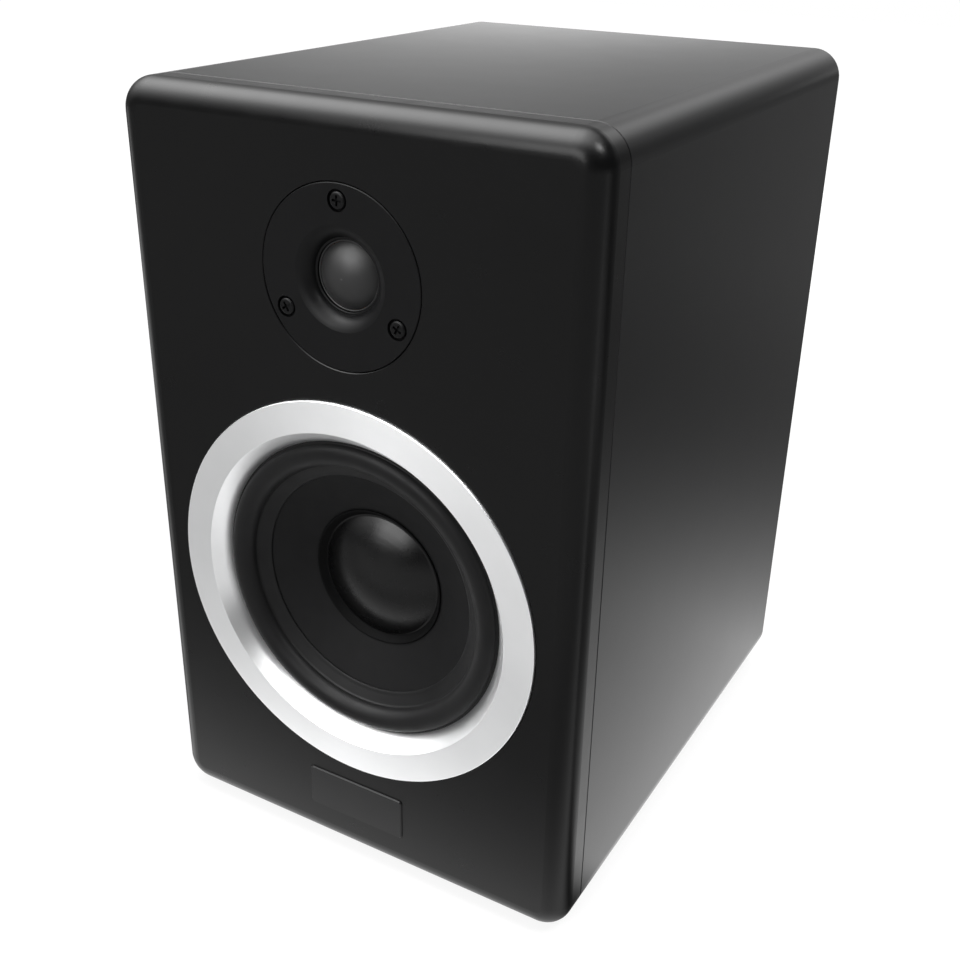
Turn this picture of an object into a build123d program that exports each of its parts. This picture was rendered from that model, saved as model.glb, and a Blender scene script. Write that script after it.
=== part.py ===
from build123d import *

import os
from math import acos, asin, cos, degrees, radians, sin, sqrt, tan

# Two-way bookshelf loudspeaker: a wooden cabinet, a cone woofer behind a metal trim ring,
# a dome tweeter, a rear bass port, a rear terminal cup and a passive crossover.
# Millimetres. +X is to the right as seen from the front, the baffle faces -Y and +Z is up.
# The origin is on the floor, under the middle of the loudspeaker.
# Depths are measured backwards from the front face of the baffle.

# Cabinet
side_margin = 18.0
top_margin = 28.4
driver_gap = 14.2
cabinet_depth = 264.0
cabinet_wall = 15.0
cabinet_corner_radius = 13.5
rear_edge_radius = 1.5
seam_chamfer = 0.5
edge_break = 0.3
baffle_thickness = 18.5
baffle_edge_radius = 10.0
tongue_height = 3.0
tongue_clearance = 0.2
rear_panel_thickness = 15.0
rear_panel_inset = 6.0
brace_thickness = 12.0
brace_border = 28.0
brace_clearance = 3.0
foot_height = 3.0
foot_radius = 9.0
foot_inset = 26.0
foot_edge = 0.6

# Bare plate under the woofer
plate_width = 50.0
plate_height = 21.0
plate_thickness = 2.0
plate_proud = 0.8
plate_corner_radius = 1.5
plate_bevel = 0.5
plate_clearance = 0.15
plate_gap = 9.0
plate_bottom_margin = 19.4

# Trim ring round the woofer
ring_radius = 88.0
ring_face_inner_radius = 74.5
ring_bore_radius = 68.5
ring_proud = 1.1
ring_wall = 1.5
ring_lip = 1.9
ring_edge_round = 0.5
ring_clearance = 0.4

# Woofer frame
flange_depth = 7.5
flange_thickness = 1.5
gasket_thickness = 1.0
basket_mouth_radius = 67.0
basket_wall = 1.8
basket_clearance = 1.2
basket_shelf_radius = 52.0
basket_neck_radius = 44.0
basket_shelf_depth = 33.0
basket_sheet = 1.5
basket_back_depth = 49.5
window_count = 8
window_width = 28.0
window_front_depth = 12.5
window_back_depth = 30.0
woofer_screw_count = 6
woofer_screw_circle = 79.0

# Woofer moving parts and suspension
surround_thickness = 1.0
surround_flange_outer = 71.5
roll_outer_radius = 67.3
roll_inner_radius = 57.0
roll_height = 4.6
surround_lip_inner = 51.0
glue_gap = 0.15
cone_edge_radius = 56.5
cone_edge_depth = 10.5
cone_angle = 23.5
cone_thickness = 1.1
cone_collar_height = 2.0
dust_cap_radius = 28.8
dust_cap_height = 9.0
dust_cap_thickness = 0.8
cap_seat_drop = 2.0
cap_seat_step = 1.6
cap_seat_ledge = 0.8
former_radius = 16.5
former_thickness = 0.5
coil_thickness = 0.9
coil_height = 13.0
coil_tail = 0.5
spider_thickness = 0.8
spider_wave_count = 4
spider_wave_height = 1.2
spider_flat = 3.0
spider_collar_height = 2.0

# Woofer motor
gap_clearance = 0.55
top_plate_radius = 45.0
top_plate_thickness = 6.0
magnet_radius = 47.5
magnet_bore_radius = 24.0
magnet_thickness = 17.0
yoke_thickness = 6.0
pole_clearance = 0.7
pole_vent_radius = 5.0
tag_board_width = 20.0
tag_board_height = 17.0
tag_board_thickness = 1.5
tag_width = 2.8
tag_thickness = 0.8
tag_length = 10.0
tag_spacing = 12.0
tinsel_radius = 0.6

# Tweeter
faceplate_radius = 36.0
faceplate_thickness = 4.0
faceplate_clearance = 0.3
boss_radius = 26.5
motor_hole_radius = 27.0
flare_mouth_radius = 20.5
throat_radius = 14.9
throat_depth = 5.2
dome_ring_bore = 13.9
dome_ring_radius = 17.0
dome_ring_thickness = 1.0
dome_radius = 13.0
dome_base_depth = 6.3
dome_height = 5.0
dome_thickness = 0.4
tweeter_skin = 0.5
tweeter_former_thickness = 0.35
tweeter_former_length = 6.5
tweeter_coil_thickness = 0.35
tweeter_coil_height = 2.5
tweeter_gap = 0.4
tweeter_plate_radius = 24.0
tweeter_plate_thickness = 3.0
tweeter_magnet_bore = 14.8
tweeter_magnet_thickness = 9.0
tweeter_yoke_thickness = 4.0
tweeter_vent_radius = 3.0
tweeter_screw_circle = 29.5
tweeter_screw_count = 3
tweeter_tag_circle = 25.0
tweeter_tag_spacing = 8.0

# Fasteners
screw_head_radius = 3.45
screw_head_height = 2.2
screw_head_round = 1.1
screw_shank_radius = 1.75
screw_length = 11.0
screw_clearance = 0.4
pilot_clearance = 0.05
counterbore_clearance = 0.8
counterbore_depth = 2.0
cross_length = 4.0
cross_width = 0.9
cross_depth = 1.2

# Bass port
port_radius = 25.0
port_wall = 2.5
port_length = 105.0
port_flare = 10.0
port_flange_width = 7.0
port_flange_thickness = 2.5
port_gap = 2.0

# Terminal cup and binding posts
cup_height = 108.0
cup_flange_width = 100.0
cup_flange_height = 80.0
cup_flange_thickness = 2.5
cup_width = 76.0
cup_tall = 56.0
cup_wall = 2.5
cup_floor = 3.0
cup_depth = 24.0
cup_corner_radius = 6.0
cup_clearance = 0.5
cup_gasket_thickness = 1.0
cup_screw_inset = 5.0
post_spacing = 19.05
stud_radius = 3.0
stud_socket_radius = 2.05
stud_socket_depth = 12.0
stud_tail = 12.0
wire_hole_radius = 1.3
collar_radius = 7.5
collar_height = 4.5
insert_wall = 1.45
insert_length = 14.0
thread_clearance = 0.05
collar_edge = 0.5
cap_radius = 7.0
cap_wall_gap = 0.06
cap_end = 1.8
cap_seat_gap = 0.3
cap_hole_radius = 2.6
cap_flute_count = 16
cap_flute_radius = 0.6
lock_nut_size = 5.8
lock_nut_height = 5.0
solder_tag_radius = 6.0
solder_tag_thickness = 0.8
solder_tag_tail = 14.0
solder_tag_width = 4.0

# Crossover
board_width = 120.0
board_depth = 90.0
board_thickness = 1.6
board_back_gap = 44.0
board_hole_inset = 6.0
standoff_height = 6.0
standoff_radius = 3.5
board_screw_radius = 1.5
board_screw_head = 2.8
board_screw_length = 14.0
big_coil_radius = 24.0
big_coil_height = 24.0
small_coil_radius = 16.0
small_coil_height = 16.0
bobbin_core_radius = 7.0
bobbin_wall = 1.5
big_capacitor_radius = 11.0
big_capacitor_length = 40.0
small_capacitor_radius = 8.5
small_capacitor_length = 32.0
resistor_length = 48.0
resistor_width = 10.0
resistor_height = 9.0
lead_radius = 1.1
lead_gap = 0.1

# Foam lining
foam_thickness = 12.0
foam_depth = 150.0
foam_top_width = 130.0
foam_margin = 12.0

# Sizes that follow from the ones above
cabinet_width = 2 * (ring_radius + side_margin)
below_ring = plate_bottom_margin + plate_height + plate_gap
cabinet_height = below_ring + 2 * ring_radius + driver_gap + 2 * faceplate_radius + top_margin
inner_width = cabinet_width - 2 * cabinet_wall
inner_height = cabinet_height - 2 * cabinet_wall
front_y = (ring_proud - cabinet_depth) / 2
cabinet_middle = foot_height + cabinet_height / 2
floor_z = foot_height + cabinet_wall
ceiling_z = foot_height + cabinet_height - cabinet_wall
plate_z = foot_height + plate_bottom_margin + plate_height / 2
woofer_z = foot_height + below_ring + ring_radius
tweeter_z = woofer_z + ring_radius + driver_gap + faceplate_radius
room_front = baffle_thickness + tongue_height
panel_back = cabinet_depth - rear_panel_inset
panel_front = panel_back - rear_panel_thickness

woofer_seat_radius = ring_radius + ring_clearance
woofer_seat_depth = flange_depth + flange_thickness + gasket_thickness
basket_hole_radius = basket_mouth_radius + basket_wall + basket_clearance
lip_depth = flange_depth - surround_thickness
cone_slope = tan(radians(cone_angle))
basket_front_depth = basket_back_depth + basket_sheet
magnet_front_depth = basket_front_depth + top_plate_thickness
yoke_front_depth = magnet_front_depth + magnet_thickness
yoke_back_depth = yoke_front_depth + yoke_thickness
coil_radius = former_radius + pilot_clearance + coil_thickness
pole_radius = former_radius - former_thickness - pole_clearance
screw_hole_radius = screw_shank_radius + screw_clearance
pilot_radius = screw_shank_radius + pilot_clearance

tweeter_seat_radius = faceplate_radius + faceplate_clearance
tweeter_seat_depth = faceplate_thickness + gasket_thickness
boss_depth = throat_depth + dome_ring_thickness + tweeter_skin
tweeter_magnet_depth = boss_depth + tweeter_plate_thickness
tweeter_yoke_depth = tweeter_magnet_depth + tweeter_magnet_thickness
tweeter_coil_radius = dome_radius + pilot_clearance + tweeter_coil_thickness
tweeter_pole_radius = dome_radius - tweeter_former_thickness - tweeter_gap

brace_bottom = woofer_z + basket_hole_radius + brace_clearance
brace_top = brace_bottom + brace_thickness
port_mouth_radius = port_radius + port_flare
port_flange_radius = port_mouth_radius + port_flange_width
port_neck_radius = port_mouth_radius + port_wall - sqrt(
    port_flare**2 - (port_flare - port_flange_thickness) ** 2
)
port_z = brace_top + port_gap + port_flange_radius

cup_face = panel_back + cup_gasket_thickness + cup_flange_thickness
cup_floor_back = cup_face - cup_depth
cup_floor_front = cup_floor_back - cup_floor
collar_back = cup_floor_back + collar_height
insert_front = collar_back + cap_seat_gap
insert_back = insert_front + insert_length
stud_end = insert_back + cap_end
insert_radius = stud_radius + thread_clearance + insert_wall
board_top = floor_z + standoff_height + board_thickness
board_back = panel_front - board_back_gap
board_middle = board_back - board_depth / 2

woofer_axis = Axis((0, front_y, woofer_z), (0, 1, 0))
tweeter_axis = Axis((0, front_y, tweeter_z), (0, 1, 0))
port_axis = Axis((0, front_y, port_z), (0, 1, 0))


def section(height):
    """Plane to draw turned parts on: across is radius and up is depth."""
    return Plane(origin=(0, front_y, height))


def facing(height, depth, across=0.0):
    """Plane facing forward, with local X to the right and local Y up."""
    return Plane(origin=(across, front_y + depth, height), x_dir=(1, 0, 0), z_dir=(0, -1, 0))


def level(height, depth=0.0, across=0.0):
    """Plane facing up, with local X to the right and local Y backwards."""
    return Plane(origin=(across, front_y + depth, height))


def cone_front(radius):
    """Depth of the cone's front surface at a radius."""
    return cone_edge_depth + (cone_edge_radius - radius) * cone_slope


def bend_radii(points):
    """Largest arc that each corner of a lead's route leaves room for."""
    radii = []
    for before, corner, after in zip(points, points[1:], points[2:]):
        first = Vector(*corner) - Vector(*before)
        second = Vector(*after) - Vector(*corner)
        turn = first.get_angle(second)
        radii.append(0.45 * min(first.length, second.length) / tan(radians(turn / 2)))
    return radii


pieces = {}

# Front baffle, with the seats of both drivers and of the plate
with BuildPart() as front_baffle:
    with BuildSketch(facing(cabinet_middle, baffle_thickness)):
        RectangleRounded(cabinet_width, cabinet_height, cabinet_corner_radius)
    extrude(amount=baffle_thickness)
    fillet(front_baffle.faces().sort_by(Axis.Y)[0].edges(), baffle_edge_radius)
    chamfer(front_baffle.faces().sort_by(Axis.Y)[-1].edges(), seam_chamfer)
    with BuildSketch(facing(cabinet_middle, room_front)):
        Rectangle(inner_width - 2 * tongue_clearance, inner_height - 2 * tongue_clearance)
    extrude(amount=tongue_height)
    with BuildSketch(facing(woofer_z, 0)):
        Circle(woofer_seat_radius)
    extrude(amount=-woofer_seat_depth, mode=Mode.SUBTRACT)
    with BuildSketch(facing(woofer_z, 0)):
        Circle(basket_hole_radius)
        with PolarLocations(woofer_screw_circle, woofer_screw_count):
            Circle(pilot_radius)
    extrude(amount=-room_front, mode=Mode.SUBTRACT)
    with BuildSketch(facing(tweeter_z, 0)):
        Circle(tweeter_seat_radius)
    extrude(amount=-tweeter_seat_depth, mode=Mode.SUBTRACT)
    with BuildSketch(facing(tweeter_z, 0)):
        Circle(motor_hole_radius)
        with PolarLocations(tweeter_screw_circle, tweeter_screw_count, start_angle=90):
            Circle(pilot_radius)
    extrude(amount=-room_front, mode=Mode.SUBTRACT)
    with BuildSketch(facing(plate_z, 0)):
        RectangleRounded(
            plate_width + 2 * plate_clearance, plate_height + 2 * plate_clearance, plate_corner_radius
        )
    extrude(amount=plate_proud - plate_thickness, mode=Mode.SUBTRACT)
    front_circles = front_baffle.edges().filter_by(GeomType.CIRCLE).group_by(Axis.Y)[0]
    chamfer(front_circles.filter_by(lambda edge: edge.radius > faceplate_radius), edge_break)
pieces["front_baffle"] = front_baffle

# Cabinet sleeve: bottom, top and both sides, with pilot holes for the crossover's screws
with BuildPart() as cabinet_sleeve:
    with BuildSketch(facing(cabinet_middle, cabinet_depth)):
        RectangleRounded(cabinet_width, cabinet_height, cabinet_corner_radius)
        Rectangle(inner_width, inner_height, mode=Mode.SUBTRACT)
    extrude(amount=cabinet_depth - baffle_thickness)
    chamfer(cabinet_sleeve.faces().sort_by(Axis.Y)[0].outer_wire().edges(), seam_chamfer)
    fillet(cabinet_sleeve.faces().sort_by(Axis.Y)[-1].outer_wire().edges(), rear_edge_radius)
    with BuildSketch(level(floor_z, board_middle)):
        with GridLocations(board_width - 2 * board_hole_inset, board_depth - 2 * board_hole_inset, 2, 2):
            Circle(board_screw_radius + pilot_clearance)
    extrude(amount=standoff_height + board_thickness - board_screw_length, mode=Mode.SUBTRACT)
pieces["cabinet_sleeve"] = cabinet_sleeve

# Rear panel, with the port's hole and the terminal cup's cut-out
with BuildPart() as rear_panel:
    with BuildSketch(facing(cabinet_middle, panel_back)):
        Rectangle(inner_width, inner_height)
    extrude(amount=rear_panel_thickness)
    with BuildSketch(facing(port_z, panel_back)):
        Circle(port_neck_radius + tongue_clearance)
    extrude(amount=rear_panel_thickness, mode=Mode.SUBTRACT)
    with BuildSketch(facing(cup_height, panel_back)):
        RectangleRounded(
            cup_width + 2 * (cup_wall + cup_clearance),
            cup_tall + 2 * (cup_wall + cup_clearance),
            cup_corner_radius + cup_wall,
        )
        with GridLocations(
            cup_flange_width - 2 * cup_screw_inset, cup_flange_height - 2 * cup_screw_inset, 2, 2
        ):
            Circle(pilot_radius)
    extrude(amount=rear_panel_thickness, mode=Mode.SUBTRACT)
pieces["rear_panel"] = rear_panel

# Window brace between the woofer and the port
with BuildPart() as window_brace:
    with BuildSketch(level(brace_bottom, (room_front + panel_front) / 2)):
        Rectangle(inner_width, panel_front - room_front)
        RectangleRounded(
            inner_width - 2 * brace_border,
            panel_front - room_front - 2 * brace_border,
            cabinet_corner_radius,
            mode=Mode.SUBTRACT,
        )
    extrude(amount=brace_thickness)
pieces["window_brace"] = window_brace

# Rubber feet under the sleeve
with BuildPart() as rubber_feet:
    with BuildSketch(level(0, (baffle_thickness + cabinet_depth) / 2)):
        with GridLocations(
            cabinet_width - 2 * foot_inset, cabinet_depth - baffle_thickness - 2 * foot_inset, 2, 2
        ):
            Circle(foot_radius)
    extrude(amount=foot_height)
    chamfer(rubber_feet.edges().group_by(Axis.Z)[0], foot_edge)
pieces["rubber_feet"] = rubber_feet

# Bare plate under the woofer
with BuildPart() as front_plate:
    with BuildSketch(facing(plate_z, plate_thickness - plate_proud)):
        RectangleRounded(plate_width, plate_height, plate_corner_radius)
    extrude(amount=plate_thickness)
    chamfer(front_plate.faces().sort_by(Axis.Y)[0].edges(), plate_bevel)
pieces["front_plate"] = front_plate

# Trim ring: a skirt on the basket's flange, a flat face and a tapered inner wall
ring_taper = (ring_face_inner_radius - ring_bore_radius) / (lip_depth + ring_proud)
ring_face_back = ring_wall - ring_proud
with BuildPart() as trim_ring:
    with BuildSketch(section(woofer_z)):
        with BuildLine():
            Polyline(
                (ring_radius, -ring_proud),
                (ring_radius, flange_depth),
                (ring_radius - ring_wall, flange_depth),
                (ring_radius - ring_wall, ring_face_back),
                (ring_face_inner_radius - ring_taper * ring_wall + ring_lip, ring_face_back),
                (ring_bore_radius + ring_lip, lip_depth),
                (ring_bore_radius, lip_depth),
                (ring_face_inner_radius, -ring_proud),
                close=True,
            )
        make_face()
    revolve(axis=woofer_axis)
    fillet(trim_ring.edges().group_by(Axis.Y)[0], ring_edge_round)
pieces["trim_ring"] = trim_ring

# Woofer basket: flange, windowed wall, shelf for the spider and seat for the top plate
with BuildPart() as woofer_basket:
    with BuildSketch(section(woofer_z)):
        with BuildLine():
            Polyline(
                (basket_mouth_radius, flange_depth),
                (ring_radius, flange_depth),
                (ring_radius, flange_depth + flange_thickness),
                (basket_mouth_radius + basket_wall, flange_depth + flange_thickness),
                (basket_shelf_radius + basket_wall, basket_shelf_depth),
                (basket_shelf_radius + basket_wall, basket_shelf_depth + basket_sheet),
                (basket_neck_radius + basket_wall, basket_shelf_depth + basket_sheet),
                (basket_neck_radius + basket_wall, basket_front_depth),
                (coil_radius + gap_clearance, basket_front_depth),
                (coil_radius + gap_clearance, basket_back_depth),
                (basket_neck_radius, basket_back_depth),
                (basket_neck_radius, basket_shelf_depth),
                (basket_shelf_radius, basket_shelf_depth),
                (basket_mouth_radius, flange_depth + flange_thickness),
                close=True,
            )
        make_face()
    revolve(axis=woofer_axis)
    with BuildSketch(facing(woofer_z, window_back_depth)):
        with PolarLocations((basket_mouth_radius + basket_shelf_radius) / 2, window_count, start_angle=90):
            Rectangle(2 * (basket_mouth_radius - basket_shelf_radius), window_width)
    extrude(amount=window_back_depth - window_front_depth, mode=Mode.SUBTRACT)
    with BuildSketch(facing(woofer_z, flange_depth)):
        with PolarLocations(woofer_screw_circle, woofer_screw_count):
            Circle(screw_hole_radius)
    extrude(amount=-flange_thickness, mode=Mode.SUBTRACT)
pieces["woofer_basket"] = woofer_basket

# Foam gasket between the basket's flange and the baffle
with BuildPart() as woofer_gasket:
    with BuildSketch(facing(woofer_z, woofer_seat_depth)):
        Circle(ring_radius)
        Circle(basket_hole_radius, mode=Mode.SUBTRACT)
        with PolarLocations(woofer_screw_circle, woofer_screw_count):
            Circle(screw_hole_radius, mode=Mode.SUBTRACT)
    extrude(amount=gasket_thickness)
pieces["woofer_gasket"] = woofer_gasket

# Woofer screws, hidden under the trim ring
with BuildPart() as woofer_screws:
    with BuildSketch(facing(woofer_z, flange_depth)):
        with PolarLocations(woofer_screw_circle, woofer_screw_count):
            Circle(screw_head_radius)
    extrude(amount=screw_head_height)
    fillet(woofer_screws.edges().group_by(Axis.Y)[0], screw_head_round)
    with BuildSketch(facing(woofer_z, flange_depth)):
        with PolarLocations(woofer_screw_circle, woofer_screw_count):
            Circle(screw_shank_radius)
    extrude(amount=-screw_length)
    with BuildSketch(facing(woofer_z, flange_depth - screw_head_height)):
        with PolarLocations(woofer_screw_circle, woofer_screw_count):
            Rectangle(cross_length, cross_width)
            Rectangle(cross_width, cross_length)
    extrude(amount=-cross_depth, mode=Mode.SUBTRACT)
pieces["woofer_screws"] = woofer_screws

# Rubber surround: flange under the trim ring, half roll and lip glued to the cone
roll_middle = (roll_outer_radius + roll_inner_radius) / 2
roll_hollow_inner = roll_inner_radius + surround_thickness
roll_hollow_outer = roll_outer_radius - surround_thickness
lip_back_outer = cone_front(roll_inner_radius) - glue_gap
lip_back_inner = cone_front(surround_lip_inner) - glue_gap
roll_crest = (lip_depth + lip_back_outer) / 2 - surround_thickness / 2 - roll_height
with BuildPart() as woofer_surround:
    with BuildSketch(section(woofer_z)):
        with BuildLine():
            Line((surround_flange_outer, flange_depth), (surround_flange_outer, lip_depth))
            Line((surround_flange_outer, lip_depth), (roll_outer_radius, lip_depth))
            ThreePointArc(
                (roll_outer_radius, lip_depth),
                (roll_middle, roll_crest),
                (roll_inner_radius, lip_back_outer - surround_thickness),
            )
            Polyline(
                (roll_inner_radius, lip_back_outer - surround_thickness),
                (surround_lip_inner, lip_back_inner - surround_thickness),
                (surround_lip_inner, lip_back_inner),
                (roll_hollow_inner, cone_front(roll_hollow_inner) - glue_gap),
            )
            ThreePointArc(
                (roll_hollow_inner, cone_front(roll_hollow_inner) - glue_gap),
                (roll_middle, roll_crest + surround_thickness),
                (roll_hollow_outer, flange_depth),
            )
            Line((roll_hollow_outer, flange_depth), (surround_flange_outer, flange_depth))
        make_face()
    revolve(axis=woofer_axis)
pieces["woofer_surround"] = woofer_surround

# Woofer cone, with a sunken seat for the dust cap and a collar that is glued to the coil former
cone_neck_radius = former_radius + glue_gap
cone_collar_radius = cone_neck_radius + cone_thickness
cap_seat_inner = dust_cap_radius + cap_seat_ledge
cap_seat_outer = cap_seat_inner + cap_seat_step
neck_depth = cone_front(cone_neck_radius) + cap_seat_drop
with BuildPart() as woofer_cone:
    with BuildSketch(section(woofer_z)):
        with BuildLine():
            Polyline(
                (cone_edge_radius, cone_edge_depth),
                (cap_seat_outer, cone_front(cap_seat_outer)),
                (cap_seat_inner, cone_front(cap_seat_inner) + cap_seat_drop),
                (cone_neck_radius, neck_depth),
                (cone_neck_radius, neck_depth + cone_collar_height),
                (cone_collar_radius, neck_depth + cone_collar_height),
                (cone_collar_radius, neck_depth + cone_thickness - cone_thickness * cone_slope),
                (cap_seat_inner, cone_front(cap_seat_inner) + cap_seat_drop + cone_thickness),
                (cap_seat_outer, cone_front(cap_seat_outer) + cone_thickness),
                (cone_edge_radius, cone_edge_depth + cone_thickness),
                close=True,
            )
        make_face()
    revolve(axis=woofer_axis)
pieces["woofer_cone"] = woofer_cone

# Dust cap: a dome, and a rim that follows the step of its seat on to the cone's front
cap_foot_radius = dust_cap_radius - dust_cap_thickness
cap_rim_radius = cap_seat_outer + cap_seat_ledge
cap_back_depth = cone_front(dust_cap_radius) + cap_seat_drop - glue_gap
cap_sphere = (dust_cap_radius**2 + dust_cap_height**2) / (2 * dust_cap_height)
cap_centre = cap_back_depth - dust_cap_thickness - dust_cap_height + cap_sphere
with BuildPart() as woofer_dust_cap:
    with BuildSketch(section(woofer_z)):
        with BuildLine():
            outside = CenterArc(
                (0, cap_centre),
                cap_sphere,
                -90,
                90 - degrees(acos(dust_cap_radius / cap_sphere)),
            )
            inside = CenterArc(
                (0, cap_centre),
                cap_sphere - dust_cap_thickness,
                -90,
                90 - degrees(acos(cap_foot_radius / (cap_sphere - dust_cap_thickness))),
            )
            Polyline(
                outside @ 1,
                (cap_seat_inner, cone_front(cap_seat_inner) + cap_seat_drop - glue_gap - dust_cap_thickness),
                (cap_seat_outer, cone_front(cap_seat_outer) - glue_gap - dust_cap_thickness),
                (cap_rim_radius, cone_front(cap_rim_radius) - glue_gap - dust_cap_thickness),
                (cap_rim_radius, cone_front(cap_rim_radius) - glue_gap),
                (cap_seat_outer, cone_front(cap_seat_outer) - glue_gap),
                (cap_seat_inner, cone_front(cap_seat_inner) + cap_seat_drop - glue_gap),
                (dust_cap_radius, cap_back_depth),
                inside @ 1,
            )
            Line(inside @ 0, outside @ 0)
        make_face()
    revolve(axis=woofer_axis)
pieces["woofer_dust_cap"] = woofer_dust_cap

# Coil former and its winding
former_front = neck_depth - coil_tail
former_back = basket_front_depth + (top_plate_thickness + coil_height) / 2 + coil_tail
with BuildPart() as woofer_coil_former:
    with BuildSketch(facing(woofer_z, former_back)):
        Circle(former_radius)
        Circle(former_radius - former_thickness, mode=Mode.SUBTRACT)
    extrude(amount=former_back - former_front)
pieces["woofer_coil_former"] = woofer_coil_former

with BuildPart() as woofer_voice_coil:
    with BuildSketch(facing(woofer_z, former_back - coil_tail)):
        Circle(coil_radius)
        Circle(former_radius + pilot_clearance, mode=Mode.SUBTRACT)
    extrude(amount=coil_height)
pieces["woofer_voice_coil"] = woofer_voice_coil

# Spider: a corrugated disc from the former to the basket's shelf
spider_inner = former_radius + glue_gap
spider_start = spider_inner + spider_thickness + spider_flat
spider_end = basket_neck_radius - spider_flat
spider_pitch = (spider_end - spider_start) / (2 * spider_wave_count)
spider_back = basket_shelf_depth
spider_front = spider_back - spider_thickness
with BuildPart() as woofer_spider:
    with BuildSketch(section(woofer_z)):
        with BuildLine():
            for wave in range(2 * spider_wave_count):
                start = spider_start + wave * spider_pitch
                bulge = spider_wave_height if wave % 2 else -spider_wave_height
                for depth in (spider_front, spider_back):
                    ThreePointArc(
                        (start, depth),
                        (start + spider_pitch / 2, depth + bulge),
                        (start + spider_pitch, depth),
                    )
            Polyline(
                (spider_end, spider_front),
                (basket_shelf_radius - spider_thickness, spider_front),
                (basket_shelf_radius - spider_thickness, spider_back),
                (spider_end, spider_back),
            )
            Polyline(
                (spider_start, spider_front),
                (spider_inner, spider_front),
                (spider_inner, spider_back + spider_collar_height),
                (spider_inner + spider_thickness, spider_back + spider_collar_height),
                (spider_inner + spider_thickness, spider_back),
                (spider_start, spider_back),
            )
        make_face()
    revolve(axis=woofer_axis)
pieces["woofer_spider"] = woofer_spider

# Woofer motor: top plate, ferrite magnet and yoke with its vented pole
with BuildPart() as woofer_top_plate:
    with BuildSketch(facing(woofer_z, magnet_front_depth)):
        Circle(top_plate_radius)
        Circle(coil_radius + gap_clearance, mode=Mode.SUBTRACT)
    extrude(amount=top_plate_thickness)
pieces["woofer_top_plate"] = woofer_top_plate

with BuildPart() as woofer_magnet:
    with BuildSketch(facing(woofer_z, yoke_front_depth)):
        Circle(magnet_radius)
        Circle(magnet_bore_radius, mode=Mode.SUBTRACT)
    extrude(amount=magnet_thickness)
    chamfer(woofer_magnet.edges().group_by(Axis.Y)[0].sort_by(SortBy.RADIUS)[-1:], ring_wall)
    chamfer(woofer_magnet.edges().group_by(Axis.Y)[-1].sort_by(SortBy.RADIUS)[-1:], ring_wall)
pieces["woofer_magnet"] = woofer_magnet

with BuildPart() as woofer_yoke:
    with BuildSketch(facing(woofer_z, yoke_back_depth)):
        Circle(top_plate_radius)
    extrude(amount=yoke_thickness)
    with BuildSketch(facing(woofer_z, yoke_front_depth)):
        Circle(pole_radius)
    extrude(amount=yoke_front_depth - basket_front_depth)
    with BuildSketch(facing(woofer_z, yoke_back_depth)):
        Circle(pole_vent_radius)
    extrude(amount=yoke_back_depth - basket_front_depth, mode=Mode.SUBTRACT)
pieces["woofer_yoke"] = woofer_yoke

# Tag board under the basket's shelf, its two tags and the tinsel leads to the cone
tag_board_front = basket_shelf_depth + basket_sheet
tag_board_z = woofer_z - basket_neck_radius - basket_wall - tag_board_height / 2
tag_z = woofer_z - basket_shelf_radius - basket_wall - 1.5 * tag_width
with BuildPart() as woofer_tag_board:
    with BuildSketch(facing(tag_board_z, tag_board_front + tag_board_thickness)):
        Rectangle(tag_board_width, tag_board_height)
    extrude(amount=tag_board_thickness)
pieces["woofer_tag_board"] = woofer_tag_board

with BuildPart() as woofer_tags:
    with BuildSketch(facing(tag_z, tag_board_front + tag_board_thickness)):
        with GridLocations(tag_spacing, 1, 2, 1):
            Rectangle(tag_width, tag_thickness)
    extrude(amount=-tag_length)
pieces["woofer_tags"] = woofer_tags

tinsel_start = (cone_neck_radius + cone_edge_radius) / 2
tinsel_start_depth = cone_front(tinsel_start) + cone_thickness + glue_gap + tinsel_radius
with BuildPart() as woofer_tinsel_leads:
    for side in (-1, 1):
        across = side * tag_spacing / 2
        route = [
            (across, front_y + tinsel_start_depth, woofer_z - tinsel_start),
            (across, front_y + tinsel_start_depth + 4, woofer_z - tinsel_start - 2),
            (across, front_y + window_back_depth - 4, woofer_z - tinsel_start - 12),
            (across, front_y + window_back_depth - 3, tag_z),
            (across, front_y + tag_board_front - lead_gap, tag_z),
        ]
        with BuildLine() as tinsel_path:
            FilletPolyline(*route, radius=bend_radii(route))
        with BuildSketch(Plane(origin=tinsel_path.line @ 0, z_dir=tinsel_path.line % 0)):
            Circle(tinsel_radius)
        sweep(path=tinsel_path.line)
pieces["woofer_tinsel_leads"] = woofer_tinsel_leads

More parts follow.
